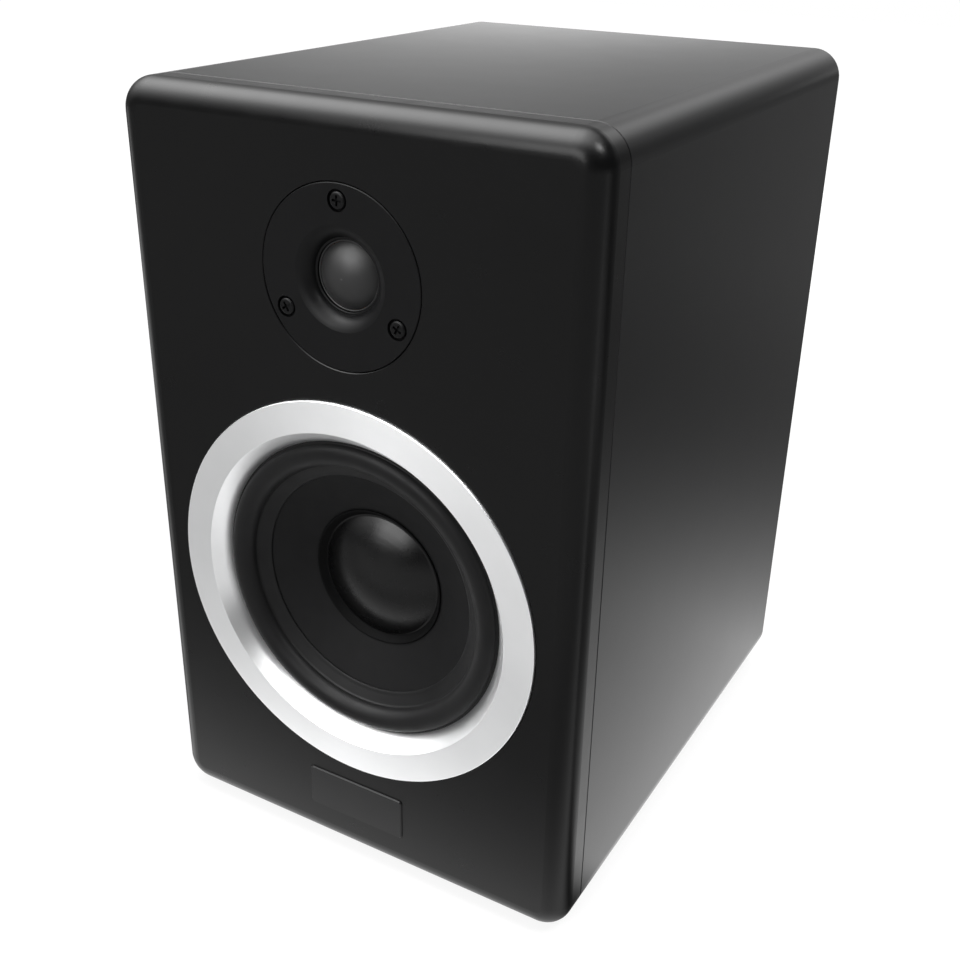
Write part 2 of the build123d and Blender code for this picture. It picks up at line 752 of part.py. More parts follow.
# Tweeter faceplate: a flush disc with a flared mouth and counterbored screw holes
with BuildPart() as tweeter_faceplate:
    with BuildSketch(section(tweeter_z)):
        with BuildLine():
            Polyline(
                (flare_mouth_radius, 0),
                (faceplate_radius, 0),
                (faceplate_radius, faceplate_thickness),
                (boss_radius, faceplate_thickness),
                (boss_radius, boss_depth),
                (dome_ring_radius + pilot_clearance, boss_depth),
                (dome_ring_radius + pilot_clearance, throat_depth),
                (throat_radius, throat_depth),
            )
            flare_bow = (flare_mouth_radius - throat_radius) / 4
            ThreePointArc(
                (throat_radius, throat_depth),
                (
                    (throat_radius + flare_mouth_radius - flare_bow) / 2,
                    (throat_depth - flare_bow) / 2,
                ),
                (flare_mouth_radius, 0),
            )
        make_face()
    revolve(axis=tweeter_axis)
    with BuildSketch(facing(tweeter_z, 0)):
        with PolarLocations(tweeter_screw_circle, tweeter_screw_count, start_angle=90):
            Circle(screw_head_radius + counterbore_clearance)
    extrude(amount=-counterbore_depth, mode=Mode.SUBTRACT)
    with BuildSketch(facing(tweeter_z, 0)):
        with PolarLocations(tweeter_screw_circle, tweeter_screw_count, start_angle=90):
            Circle(screw_hole_radius)
    extrude(amount=-faceplate_thickness, mode=Mode.SUBTRACT)
    front_circles = tweeter_faceplate.edges().filter_by(GeomType.CIRCLE).group_by(Axis.Y)[0]
    chamfer(front_circles.sort_by(SortBy.RADIUS)[-1:], edge_break)
pieces["tweeter_faceplate"] = tweeter_faceplate

with BuildPart() as tweeter_gasket:
    with BuildSketch(facing(tweeter_z, tweeter_seat_depth)):
        Circle(faceplate_radius)
        Circle(motor_hole_radius, mode=Mode.SUBTRACT)
        with PolarLocations(tweeter_screw_circle, tweeter_screw_count, start_angle=90):
            Circle(screw_hole_radius, mode=Mode.SUBTRACT)
    extrude(amount=gasket_thickness)
pieces["tweeter_gasket"] = tweeter_gasket

with BuildPart() as tweeter_screws:
    with BuildSketch(facing(tweeter_z, counterbore_depth)):
        with PolarLocations(tweeter_screw_circle, tweeter_screw_count, start_angle=90):
            Circle(screw_head_radius)
    extrude(amount=screw_head_height)
    fillet(tweeter_screws.edges().group_by(Axis.Y)[0], screw_head_round)
    with BuildSketch(facing(tweeter_z, counterbore_depth)):
        with PolarLocations(tweeter_screw_circle, tweeter_screw_count, start_angle=90):
            Circle(screw_shank_radius)
    extrude(amount=-screw_length)
    with BuildSketch(facing(tweeter_z, counterbore_depth - screw_head_height)):
        with PolarLocations(tweeter_screw_circle, tweeter_screw_count, start_angle=90):
            Rectangle(cross_length, cross_width)
            Rectangle(cross_width, cross_length)
    extrude(amount=-cross_depth, mode=Mode.SUBTRACT)
pieces["tweeter_screws"] = tweeter_screws

# Ring that clamps the dome's edge, seen as a thin rim round the dome
with BuildPart() as tweeter_dome_ring:
    with BuildSketch(facing(tweeter_z, throat_depth + dome_ring_thickness)):
        Circle(dome_ring_radius)
        Circle(dome_ring_bore, mode=Mode.SUBTRACT)
    extrude(amount=dome_ring_thickness)
    front_edges = tweeter_dome_ring.edges().group_by(Axis.Y)[0]
    fillet(front_edges.sort_by(SortBy.RADIUS)[:1], dome_ring_thickness / 2)
pieces["tweeter_dome_ring"] = tweeter_dome_ring

# Soft edge that carries the dome
with BuildPart() as tweeter_surround:
    with BuildSketch(facing(tweeter_z, boss_depth)):
        Circle(dome_ring_radius)
        Circle(dome_radius + glue_gap, mode=Mode.SUBTRACT)
    extrude(amount=tweeter_skin)
pieces["tweeter_surround"] = tweeter_surround

# Dome, its coil former and its winding
dome_sphere = (dome_radius**2 + dome_height**2) / (2 * dome_height)
dome_centre = dome_base_depth - dome_height + dome_sphere
dome_foot = dome_sphere - dome_height
with BuildPart() as tweeter_dome:
    with BuildSketch(section(tweeter_z)):
        with BuildLine():
            outside = CenterArc(
                (0, dome_centre),
                dome_sphere,
                -90,
                90 - degrees(asin(dome_foot / dome_sphere)),
            )
            inside = CenterArc(
                (0, dome_centre),
                dome_sphere - dome_thickness,
                -90,
                90 - degrees(asin(dome_foot / (dome_sphere - dome_thickness))),
            )
            Line(outside @ 1, inside @ 1)
            Line(inside @ 0, outside @ 0)
        make_face()
    revolve(axis=tweeter_axis)
pieces["tweeter_dome"] = tweeter_dome

with BuildPart() as tweeter_coil_former:
    with BuildSketch(facing(tweeter_z, dome_base_depth + tweeter_former_length)):
        Circle(dome_radius)
        Circle(dome_radius - tweeter_former_thickness, mode=Mode.SUBTRACT)
    extrude(amount=tweeter_former_length)
pieces["tweeter_coil_former"] = tweeter_coil_former

with BuildPart() as tweeter_voice_coil:
    with BuildSketch(facing(tweeter_z, tweeter_magnet_depth)):
        Circle(tweeter_coil_radius)
        Circle(dome_radius + pilot_clearance, mode=Mode.SUBTRACT)
    extrude(amount=tweeter_coil_height)
pieces["tweeter_voice_coil"] = tweeter_voice_coil

# Tweeter motor: top plate, magnet and yoke with its vented pole
with BuildPart() as tweeter_top_plate:
    with BuildSketch(facing(tweeter_z, tweeter_magnet_depth)):
        Circle(tweeter_plate_radius)
        Circle(tweeter_coil_radius + tweeter_gap, mode=Mode.SUBTRACT)
    extrude(amount=tweeter_plate_thickness)
pieces["tweeter_top_plate"] = tweeter_top_plate

with BuildPart() as tweeter_magnet:
    with BuildSketch(facing(tweeter_z, tweeter_yoke_depth)):
        Circle(tweeter_plate_radius)
        Circle(tweeter_magnet_bore, mode=Mode.SUBTRACT)
    extrude(amount=tweeter_magnet_thickness)
pieces["tweeter_magnet"] = tweeter_magnet

with BuildPart() as tweeter_yoke:
    with BuildSketch(facing(tweeter_z, tweeter_yoke_depth + tweeter_yoke_thickness)):
        Circle(tweeter_plate_radius)
    extrude(amount=tweeter_yoke_thickness)
    with BuildSketch(facing(tweeter_z, tweeter_yoke_depth)):
        Circle(tweeter_pole_radius)
    extrude(amount=tweeter_yoke_depth - boss_depth)
    with BuildSketch(facing(tweeter_z, tweeter_yoke_depth + tweeter_yoke_thickness)):
        Circle(tweeter_vent_radius)
    extrude(amount=tweeter_yoke_depth + tweeter_yoke_thickness - boss_depth, mode=Mode.SUBTRACT)
pieces["tweeter_yoke"] = tweeter_yoke

with BuildPart() as tweeter_tags:
    with BuildSketch(facing(tweeter_z, boss_depth, -tweeter_tag_circle)):
        with GridLocations(1, tweeter_tag_spacing, 1, 2):
            Rectangle(tag_thickness, tag_width)
    extrude(amount=-tag_length)
pieces["tweeter_tags"] = tweeter_tags

# Bass port: flared mouth with a flange on the rear panel, tube and flared inner end
port_mouth = panel_back + port_flange_thickness
port_inner = panel_back - port_length
port_outer_radius = port_radius + port_wall
with BuildPart() as port_tube:
    with BuildSketch(section(port_z)):
        with BuildLine():
            ThreePointArc(
                (port_mouth_radius, port_mouth),
                (
                    port_mouth_radius - port_flare * cos(radians(45)),
                    port_mouth - port_flare + port_flare * sin(radians(45)),
                ),
                (port_radius, port_mouth - port_flare),
            )
            Polyline(
                (port_radius, port_mouth - port_flare),
                (port_radius, port_inner),
                (port_outer_radius, port_inner),
                (port_outer_radius, panel_front - port_flare),
                (port_neck_radius, panel_front),
                (port_neck_radius, panel_back),
                (port_flange_radius, panel_back),
                (port_flange_radius, port_mouth),
                (port_mouth_radius, port_mouth),
            )
        make_face()
    revolve(axis=port_axis)
    fillet(port_tube.edges().group_by(Axis.Y)[-1].sort_by(SortBy.RADIUS)[-1:], port_flange_thickness / 2)
pieces["port_tube"] = port_tube

# Terminal cup: a flange on the rear panel and a sunken floor for the posts
with BuildPart() as terminal_cup:
    with BuildSketch(facing(cup_height, cup_face)):
        RectangleRounded(cup_flange_width, cup_flange_height, cup_corner_radius)
    extrude(amount=cup_flange_thickness)
    with BuildSketch(facing(cup_height, cup_face)):
        RectangleRounded(cup_width + 2 * cup_wall, cup_tall + 2 * cup_wall, cup_corner_radius + cup_wall)
    extrude(amount=cup_depth + cup_floor)
    with BuildSketch(facing(cup_height, cup_face)):
        RectangleRounded(cup_width, cup_tall, cup_corner_radius)
    extrude(amount=cup_depth, mode=Mode.SUBTRACT)
    with BuildSketch(facing(cup_height, cup_face)):
        with GridLocations(
            cup_flange_width - 2 * cup_screw_inset, cup_flange_height - 2 * cup_screw_inset, 2, 2
        ):
            Circle(screw_hole_radius)
        with GridLocations(post_spacing, 1, 2, 1):
            Circle(stud_radius + thread_clearance)
    extrude(amount=cup_depth + cup_floor, mode=Mode.SUBTRACT)
    fillet(terminal_cup.faces().sort_by(Axis.Y)[-1].outer_wire().edges(), cup_gasket_thickness)
pieces["terminal_cup"] = terminal_cup

with BuildPart() as terminal_gasket:
    with BuildSketch(facing(cup_height, panel_back + cup_gasket_thickness)):
        RectangleRounded(cup_flange_width, cup_flange_height, cup_corner_radius)
        RectangleRounded(
            cup_width + 2 * (cup_wall + cup_clearance),
            cup_tall + 2 * (cup_wall + cup_clearance),
            cup_corner_radius + cup_wall,
            mode=Mode.SUBTRACT,
        )
        with GridLocations(
            cup_flange_width - 2 * cup_screw_inset, cup_flange_height - 2 * cup_screw_inset, 2, 2
        ):
            Circle(screw_hole_radius, mode=Mode.SUBTRACT)
    extrude(amount=cup_gasket_thickness)
pieces["terminal_gasket"] = terminal_gasket

with BuildPart() as terminal_screws:
    with BuildSketch(facing(cup_height, cup_face)):
        with GridLocations(
            cup_flange_width - 2 * cup_screw_inset, cup_flange_height - 2 * cup_screw_inset, 2, 2
        ):
            Circle(screw_head_radius)
    extrude(amount=-screw_head_height)
    fillet(terminal_screws.edges().group_by(Axis.Y)[-1], screw_head_round)
    with BuildSketch(facing(cup_height, cup_face)):
        with GridLocations(
            cup_flange_width - 2 * cup_screw_inset, cup_flange_height - 2 * cup_screw_inset, 2, 2
        ):
            Circle(screw_shank_radius)
    extrude(amount=screw_length)
    with BuildSketch(facing(cup_height, cup_face + screw_head_height)):
        with GridLocations(
            cup_flange_width - 2 * cup_screw_inset, cup_flange_height - 2 * cup_screw_inset, 2, 2
        ):
            Rectangle(cross_length, cross_width)
            Rectangle(cross_width, cross_length)
    extrude(amount=cross_depth, mode=Mode.SUBTRACT)
pieces["terminal_screws"] = terminal_screws

# Binding posts: stud with a plug socket, insulating collar, threaded insert and fluted cap
for colour, side in (("red", -1), ("black", 1)):
    across = side * post_spacing / 2
    with BuildPart() as post_stud:
        with BuildSketch(facing(cup_height, stud_end, across)):
            Circle(stud_radius)
        extrude(amount=stud_end - cup_floor_front + stud_tail)
        with BuildSketch(facing(cup_height, stud_end, across)):
            Circle(stud_socket_radius)
        extrude(amount=stud_socket_depth, mode=Mode.SUBTRACT)
        with BuildSketch(Plane.YZ.offset(across)):
            with Locations((front_y + insert_front + wire_hole_radius, cup_height)):
                Circle(wire_hole_radius)
        extrude(amount=stud_radius, both=True, mode=Mode.SUBTRACT)
    pieces[f"post_stud_{colour}"] = post_stud

    with BuildPart() as post_collar:
        with BuildSketch(facing(cup_height, collar_back, across)):
            Circle(collar_radius)
            Circle(stud_radius + thread_clearance, mode=Mode.SUBTRACT)
        extrude(amount=collar_height)
        fillet(post_collar.edges().group_by(Axis.Y)[-1].sort_by(SortBy.RADIUS)[-1:], collar_edge)
    pieces[f"post_collar_{colour}"] = post_collar

    with BuildPart() as post_insert:
        with BuildSketch(facing(cup_height, insert_back, across)):
            Circle(insert_radius)
            Circle(stud_radius + thread_clearance, mode=Mode.SUBTRACT)
        extrude(amount=insert_length)
    pieces[f"post_insert_{colour}"] = post_insert

    with BuildPart() as post_cap:
        with BuildSketch(facing(cup_height, stud_end + cap_end, across)):
            Circle(cap_radius)
            with PolarLocations(cap_radius, cap_flute_count):
                Circle(cap_flute_radius, mode=Mode.SUBTRACT)
        extrude(amount=stud_end + cap_end - insert_front)
        with BuildSketch(facing(cup_height, insert_front, across)):
            Circle(insert_radius + cap_wall_gap)
        extrude(amount=insert_front - stud_end - cap_seat_gap, mode=Mode.SUBTRACT)
        with BuildSketch(facing(cup_height, stud_end + cap_end, across)):
            Circle(cap_hole_radius)
        extrude(amount=cap_end, mode=Mode.SUBTRACT)
    pieces[f"post_cap_{colour}"] = post_cap

# Solder tags and lock nuts on the studs' inner ends
with BuildPart() as post_solder_tags:
    with BuildSketch(facing(cup_height, cup_floor_front)):
        with GridLocations(post_spacing, 1, 2, 1):
            Circle(solder_tag_radius)
        with Locations((0, -solder_tag_tail / 2)):
            with GridLocations(post_spacing, 1, 2, 1):
                Rectangle(solder_tag_width, solder_tag_tail)
        with GridLocations(post_spacing, 1, 2, 1):
            Circle(stud_radius + thread_clearance, mode=Mode.SUBTRACT)
    extrude(amount=solder_tag_thickness)
pieces["post_solder_tags"] = post_solder_tags

with BuildPart() as post_lock_nuts:
    with BuildSketch(facing(cup_height, cup_floor_front - solder_tag_thickness)):
        with GridLocations(post_spacing, 1, 2, 1):
            RegularPolygon(lock_nut_size, 6)
            Circle(stud_radius + thread_clearance, mode=Mode.SUBTRACT)
    extrude(amount=lock_nut_height)
pieces["post_lock_nuts"] = post_lock_nuts

# Crossover board on its standoffs, screwed to the cabinet's floor
board_hole_x = board_width - 2 * board_hole_inset
board_hole_y = board_depth - 2 * board_hole_inset
with BuildPart() as crossover_standoffs:
    with BuildSketch(level(floor_z, board_middle)):
        with GridLocations(board_hole_x, board_hole_y, 2, 2):
            Circle(standoff_radius)
            Circle(board_screw_radius + pilot_clearance, mode=Mode.SUBTRACT)
    extrude(amount=standoff_height)
pieces["crossover_standoffs"] = crossover_standoffs

with BuildPart() as crossover_board:
    with BuildSketch(level(board_top - board_thickness, board_middle)):
        Rectangle(board_width, board_depth)
        with GridLocations(board_hole_x, board_hole_y, 2, 2):
            Circle(board_screw_radius + pilot_clearance, mode=Mode.SUBTRACT)
    extrude(amount=board_thickness)
pieces["crossover_board"] = crossover_board

with BuildPart() as crossover_screws:
    with BuildSketch(level(board_top, board_middle)):
        with GridLocations(board_hole_x, board_hole_y, 2, 2):
            Circle(board_screw_head)
    extrude(amount=board_screw_radius)
    with BuildSketch(level(board_top, board_middle)):
        with GridLocations(board_hole_x, board_hole_y, 2, 2):
            Circle(board_screw_radius)
    extrude(amount=-board_screw_length)
pieces["crossover_screws"] = crossover_screws

# Inductors: two flanged bobbins and their windings
coil_places = (
    (-board_width / 4, board_middle, big_coil_radius, big_coil_height),
    (board_width / 4, board_middle - board_depth / 4, small_coil_radius, small_coil_height),
)
with BuildPart() as inductor_bobbins:
    for across, depth, radius, height in coil_places:
        with BuildSketch(level(board_top, depth, across)):
            Circle(radius)
        extrude(amount=bobbin_wall)
        with BuildSketch(level(board_top + height - bobbin_wall, depth, across)):
            Circle(radius)
        extrude(amount=bobbin_wall)
        with BuildSketch(level(board_top, depth, across)):
            Circle(bobbin_core_radius)
        extrude(amount=height)
pieces["inductor_bobbins"] = inductor_bobbins

with BuildPart() as inductor_windings:
    for across, depth, radius, height in coil_places:
        with BuildSketch(level(board_top + bobbin_wall, depth, across)):
            Circle(radius - bobbin_wall)
            Circle(bobbin_core_radius + pilot_clearance, mode=Mode.SUBTRACT)
        extrude(amount=height - 2 * bobbin_wall)
pieces["inductor_windings"] = inductor_windings

# Film capacitors lying on the board, and a ceramic resistor
capacitor_places = (
    (board_middle + board_depth / 10, big_capacitor_radius, big_capacitor_length),
    (
        board_middle + board_depth / 2 - small_capacitor_radius,
        small_capacitor_radius,
        small_capacitor_length,
    ),
)
with BuildPart() as film_capacitors:
    for depth, radius, length in capacitor_places:
        with BuildSketch(Plane.YZ.offset(board_width / 4 - length / 2)):
            with Locations((front_y + depth, board_top + radius)):
                Circle(radius)
        extrude(amount=length)
pieces["film_capacitors"] = film_capacitors

with BuildPart() as crossover_resistor:
    with BuildSketch(level(board_top, board_middle - board_depth / 2 + resistor_width, -board_width / 6)):
        Rectangle(resistor_length, resistor_width)
    extrude(amount=resistor_height)
pieces["crossover_resistor"] = crossover_resistor

# Leads from the posts to the board, and from the board to each driver
cup_tag_z = cup_height - solder_tag_tail
input_y = front_y + cup_floor_front - solder_tag_thickness - lead_radius - lead_gap
board_pad_z = board_top + lead_gap
woofer_tag_end = tag_board_front + tag_board_thickness + tag_length + lead_gap
tweeter_tag_end = boss_depth + tag_length + lead_gap
lead_routes = {"input_leads": [], "woofer_leads": [], "tweeter_leads": []}
for side in (-1, 1):
    across = side * post_spacing / 2
    lead_routes["input_leads"].append([
        (across, input_y, cup_tag_z + 3),
        (across, input_y - 2, cup_tag_z - 18),
        (across, input_y - 10, cup_tag_z - 34),
        (across, front_y + board_back - 8, board_pad_z + 16),
        (across, front_y + board_back - 10, board_pad_z),
    ])
    across = side * tag_spacing / 2
    lead_routes["woofer_leads"].append([
        (across, front_y + woofer_tag_end, tag_z),
        (across, front_y + woofer_tag_end + 20, tag_z - 1),
        (across, front_y + woofer_tag_end + 46, tag_z - 12),
        (across, front_y + board_back - board_depth + 20, board_pad_z + 16),
        (across, front_y + board_back - board_depth + 22, board_pad_z),
    ])
    start_z = tweeter_z + side * tweeter_tag_spacing / 2
    lead_routes["tweeter_leads"].append([
        (-tweeter_tag_circle, front_y + tweeter_tag_end, start_z),
        (-tweeter_tag_circle - 1, front_y + tweeter_tag_end + 22, start_z + 1),
        (-46 + 2 * side, front_y + tweeter_tag_end + 60, tweeter_z - 12 + side * 4),
        (-50 + 2 * side, front_y + tweeter_tag_end + 92, brace_top + 4),
        (-50 + 2 * side, front_y + tweeter_tag_end + 102, brace_top - 40),
        (-52 + 2 * side, front_y + tweeter_tag_end + 104, brace_top - 90),
        (-55 + 2 * side, front_y + tweeter_tag_end + 106, brace_top - 136),
        (-54 + 3 * side, front_y + board_middle - 30, board_pad_z + 24),
        (-54 + 3 * side, front_y + board_middle - 28, board_pad_z),
    ])
for name, routes in lead_routes.items():
    with BuildPart() as leads:
        for route in routes:
            with BuildLine() as lead_path:
                FilletPolyline(*route, radius=bend_radii(route))
            with BuildSketch(Plane(origin=lead_path.line @ 0, z_dir=lead_path.line % 0)):
                Circle(lead_radius)
            sweep(path=lead_path.line)
            print(name, "bend radii", [round(radius, 1) for radius in bend_radii(route)])
    pieces[name] = leads

# Foam lining: one pad on each side wall and one under the top
foam_middle = panel_front - foam_margin - foam_depth / 2
with BuildPart() as foam_lining:
    with BuildSketch(level(floor_z + foam_margin, foam_middle)):
        with GridLocations(inner_width - foam_thickness, 1, 2, 1):
            Rectangle(foam_thickness, foam_depth)
    extrude(amount=brace_bottom - floor_z - 2 * foam_margin)
    with BuildSketch(level(ceiling_z - foam_thickness, foam_middle)):
        Rectangle(foam_top_width, foam_depth)
    extrude(amount=foam_thickness)
pieces["foam_lining"] = foam_lining

os.makedirs("parts", exist_ok=True)
for name, piece in pieces.items():
    piece.part.label = name
    export_step(piece.part, f"parts/{name}.step")
print(len(pieces), "pieces, cabinet", cabinet_width, "x", cabinet_depth, "x", cabinet_height)
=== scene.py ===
"""Dressing of a two-way bookshelf loudspeaker.

The turned parts of the woofer and tweeter are modelled here round the loaded frame, and every piece
gets its finish. A small studio shows the loudspeaker from the front, right and above. It is white to
the camera, and reflections see a room of their own.
"""

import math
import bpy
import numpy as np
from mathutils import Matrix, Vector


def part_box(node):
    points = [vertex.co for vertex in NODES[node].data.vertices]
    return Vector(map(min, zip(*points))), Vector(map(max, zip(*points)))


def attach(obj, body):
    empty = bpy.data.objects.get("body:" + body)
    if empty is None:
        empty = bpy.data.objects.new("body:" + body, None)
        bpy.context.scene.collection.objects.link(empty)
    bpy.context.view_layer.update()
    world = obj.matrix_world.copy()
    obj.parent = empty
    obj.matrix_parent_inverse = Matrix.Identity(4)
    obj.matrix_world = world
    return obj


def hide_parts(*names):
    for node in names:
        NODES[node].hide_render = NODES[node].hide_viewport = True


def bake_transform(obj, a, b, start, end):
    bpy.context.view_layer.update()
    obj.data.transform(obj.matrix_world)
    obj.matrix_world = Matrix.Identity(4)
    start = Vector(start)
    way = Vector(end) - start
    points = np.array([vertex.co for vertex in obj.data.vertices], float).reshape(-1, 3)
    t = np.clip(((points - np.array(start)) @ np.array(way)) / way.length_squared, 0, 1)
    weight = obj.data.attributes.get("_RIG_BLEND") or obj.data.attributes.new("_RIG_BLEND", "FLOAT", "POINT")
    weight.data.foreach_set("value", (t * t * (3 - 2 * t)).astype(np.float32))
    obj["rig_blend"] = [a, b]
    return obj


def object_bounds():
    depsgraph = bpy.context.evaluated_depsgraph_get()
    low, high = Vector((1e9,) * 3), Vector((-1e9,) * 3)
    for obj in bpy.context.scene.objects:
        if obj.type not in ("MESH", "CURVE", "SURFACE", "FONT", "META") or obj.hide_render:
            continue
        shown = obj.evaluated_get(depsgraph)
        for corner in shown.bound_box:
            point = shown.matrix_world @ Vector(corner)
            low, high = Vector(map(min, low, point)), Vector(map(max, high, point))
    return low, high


bl_info = {
    "name": "Bookshelf Loudspeaker Dressing",
    "version": (1, 0, 0),
    "blender": (4, 5, 0),
    "location": "3D View > Sidebar > Loudspeaker",
    "description": "Turned driver parts, finishes and studio stage of a bookshelf loudspeaker",
    "category": "Object",
}

import bmesh
import bpy
from bpy.props import FloatProperty, FloatVectorProperty, IntProperty, PointerProperty
from bpy.types import Operator, Panel, PropertyGroup
from mathutils import Matrix, Vector

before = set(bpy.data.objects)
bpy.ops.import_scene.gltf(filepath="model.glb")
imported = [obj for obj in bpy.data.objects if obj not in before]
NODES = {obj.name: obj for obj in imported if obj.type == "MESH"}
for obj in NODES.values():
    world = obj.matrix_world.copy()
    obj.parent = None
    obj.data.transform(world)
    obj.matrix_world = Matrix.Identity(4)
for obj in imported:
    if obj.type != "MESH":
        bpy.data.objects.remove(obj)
CAD_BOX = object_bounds()

# Places read from the frame
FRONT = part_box("front_baffle")[0].y
RING_LOW, RING_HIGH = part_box("trim_ring")
PLATE_LOW, PLATE_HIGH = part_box("tweeter_faceplate")
SPIDER_LOW, SPIDER_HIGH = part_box("woofer_spider")
WOOFER_HEIGHT = (RING_LOW.z + RING_HIGH.z) / 2
TWEETER_HEIGHT = (PLATE_LOW.z + PLATE_HIGH.z) / 2
WOOFER_CENTRE = (0.0, FRONT, WOOFER_HEIGHT)
TWEETER_CENTRE = (0.0, FRONT, TWEETER_HEIGHT)

# Small lengths that several pieces share
TOUCH = 1e-6
GLUE = 0.00015
SEAT_GAP = 0.0008
SEAT_WIDTH = 0.0016
COLLAR = 0.002

# Steps along the curves of the profiles, and round the small soft parts
ROLL_STEPS = 32
LIP_STEPS = 12
CONE_STEPS = 23
CAP_STEPS = 28
WAVE_STEPS = 96
EDGE_STEPS = 12
SOFT_STEPS = 96

# Range that most values of a grain lie in, and scale of a wave texture with one wave to the metre
GRAIN_LOW = 0.3
GRAIN_HIGH = 0.7
WAVE_SCALE = 0.314

# Softboxes: place, point faced, width and height
KEY_BOX = ((-0.23, -1.22, 0.74), (0.0, -0.13, 0.2), (0.8, 0.5))
TOP_BOX = ((-0.12, -0.15, 1.10), (-0.12, -0.149, 0.3), (1.4, 0.9))
CORNER_BOX = ((0.70, -0.24, 1.14), (0.08, -0.12, 0.3), (0.3, 0.3))
REAR_BOX = ((0.0, 1.5, 0.95), (0.0, 0.13, 0.17), (1.0, 0.7))

# Camera's sensor in millimetres, and its nearest distance
SENSOR_WIDTH = 36.0
NEAR_CLIP = 0.01

# Floor: its drop under the feet, its paint, and where its white to the camera becomes full
FLOOR_DROP = 0.0002
FLOOR_PAINT = (0.86, 0.86, 0.86, 1.0)
FLOOR_WHITE = (0.4, 1.4)
PAINT_HIDDEN = 0.8
WHITE = (1.0, 1.0, 1.0, 1.0)

# Floor in reflections: distances over which each painted pool of light grows
POOL_BESIDE = (-0.025, -0.06)
POOL_AHEAD = (-0.02, 0.01)
POOL_FRONT = (0.05, 0.28)
POOL_TOWARD = (0.6, -0.8, 0.0)
POOL_RIGHT = (0.106, 0.276)
POOL_LEFT_SHARE = 0.45
FAR_BEHIND = (0.2, 1.0)
ASIDE_OUTWARD = (0.3, 0.9)
ASIDE_FRONT = (-0.45, -0.15)
ASIDE_BACK = (0.35, 0.05)

# Glowing card behind the top, which paints a reflection of light on it, and how its glow dies away along a
# slant and upwards
CARD_SIDES = (-0.65, 0.25)
CARD_DEPTH = 0.21
CARD_HEIGHTS = (0.335, 0.47)
CARD_SLANT = (1.0, 0.0, 5.0)
CARD_SLANT_FADE = (1.91, 1.67)
CARD_HEIGHT_FADE = (0.40, 0.35)

# Room in reflections: directions over which each lit part grows, some with the share at either end
GLOW_TOWARD = (-0.52, 0.85, 0.0)
GLOW_FACING = (0.965, 0.998)
GLOW_HEIGHT = (0.14, 0.06)
BACK_FACING = (0.4, 0.8)
BACK_HIGH = (0.6, 0.4)
BACK_LOW = ((0.14, 0.24), (0.2, 1.0))
BACK_LEFT = ((-0.42, -0.27), (0.3, 1.0))
BACK_RIGHT = ((0.30, -0.10), (0.45, 1.0))
PATCH_LOW = (0.31, 0.45)
PATCH_HIGH = (0.70, 0.54)
PATCH_LEFT = (-0.16, 0.04)
PATCH_RIGHT = (0.50, 0.24)
CEILING_TOWARD = (-0.40, -0.15, 0.90)
CEILING_FOCUS = 6.0


def number(label, description, default, **settings):
    """Plain number, such as a strength."""
    return FloatProperty(name=label, description=description, default=default, **settings)


def length(label, description, default):
    """Size in metres."""
    return number(label, description, default, unit="LENGTH", precision=5)


def watts(label, description, default):
    """Power of a lamp."""
    return number(label, description, default, unit="POWER")


def degrees(label, description, default):
    """Angle, given in degrees."""
    return number(label, description, math.radians(default), subtype="ANGLE")


def spot(label, description, default):
    """Point in the frame."""
    return FloatVectorProperty(name=label, description=description, default=default, subtype="XYZ")


def colour(label, description, default):
    """Linear colour of a finish."""
    return FloatVectorProperty(
        name=label, description=description, default=default, subtype="COLOR", size=3, min=0.0, max=1.0
    )


class LoudspeakerSizes(PropertyGroup):
    """Sizes of the turned parts, as radii and as depths behind the baffle's front."""

    steps: IntProperty(name="Steps", description="Facets round each turned part", default=192, min=48)
    ring_face_inner: length("Ring face inner", "Inner radius of the ring's flat face", 0.0745)
    ring_bore: length("Ring bore", "Radius of the ring's bore", 0.0685)
    ring_edge: length("Ring edge", "Rounding of the ring's edges", 0.0004)
    flange_outer: length("Flange outer", "Outer radius of the surround's flange", 0.0715)
    roll_outer: length("Roll outer", "Outer radius of the surround's roll", 0.0673)
    roll_inner: length("Roll inner", "Inner radius of the surround's roll", 0.0570)
    roll_height: length("Roll height", "Height of the roll over its feet", 0.0046)
    lip_inner: length("Lip inner", "Inner radius of the surround's lip on the cone", 0.0510)
    rubber: length("Rubber", "Thickness of the surround", 0.0010)
    flange_depth: length("Flange depth", "Depth of the surround's flange", 0.0065)
    cone_edge: length("Cone edge", "Outer radius of the cone", 0.0565)
    cone_depth: length("Cone depth", "Depth of the cone's outer edge", 0.0105)
    cone_paper: length("Cone paper", "Thickness of the cone", 0.0011)
    cone_slope: degrees("Cone slope", "Angle of the cone to the baffle", 23.5)
    cap_radius: length("Cap radius", "Radius of the dust cap's dome", 0.0288)
    cap_height: length("Cap height", "Height of the dust cap's dome", 0.0090)
    cap_paper: length("Cap paper", "Thickness of the dust cap", 0.0008)
    seat_drop: length("Seat drop", "Depth of the step under the dust cap", 0.0020)
    neck_radius: length("Neck radius", "Inner radius of the cone at the coil former", 0.01665)
    spider_cloth: length("Spider cloth", "Thickness of the spider", 0.0008)
    spider_wave: length("Spider wave", "Height of the spider's waves", 0.0012)
    dome_radius: length("Dome radius", "Radius of the tweeter's dome", 0.0130)
    soft_edge_outer: length("Soft edge outer", "Outer radius of the dome's soft edge", 0.0170)
    soft_edge_depth: length("Soft edge depth", "Depth of the dome's soft edge", 0.0062)


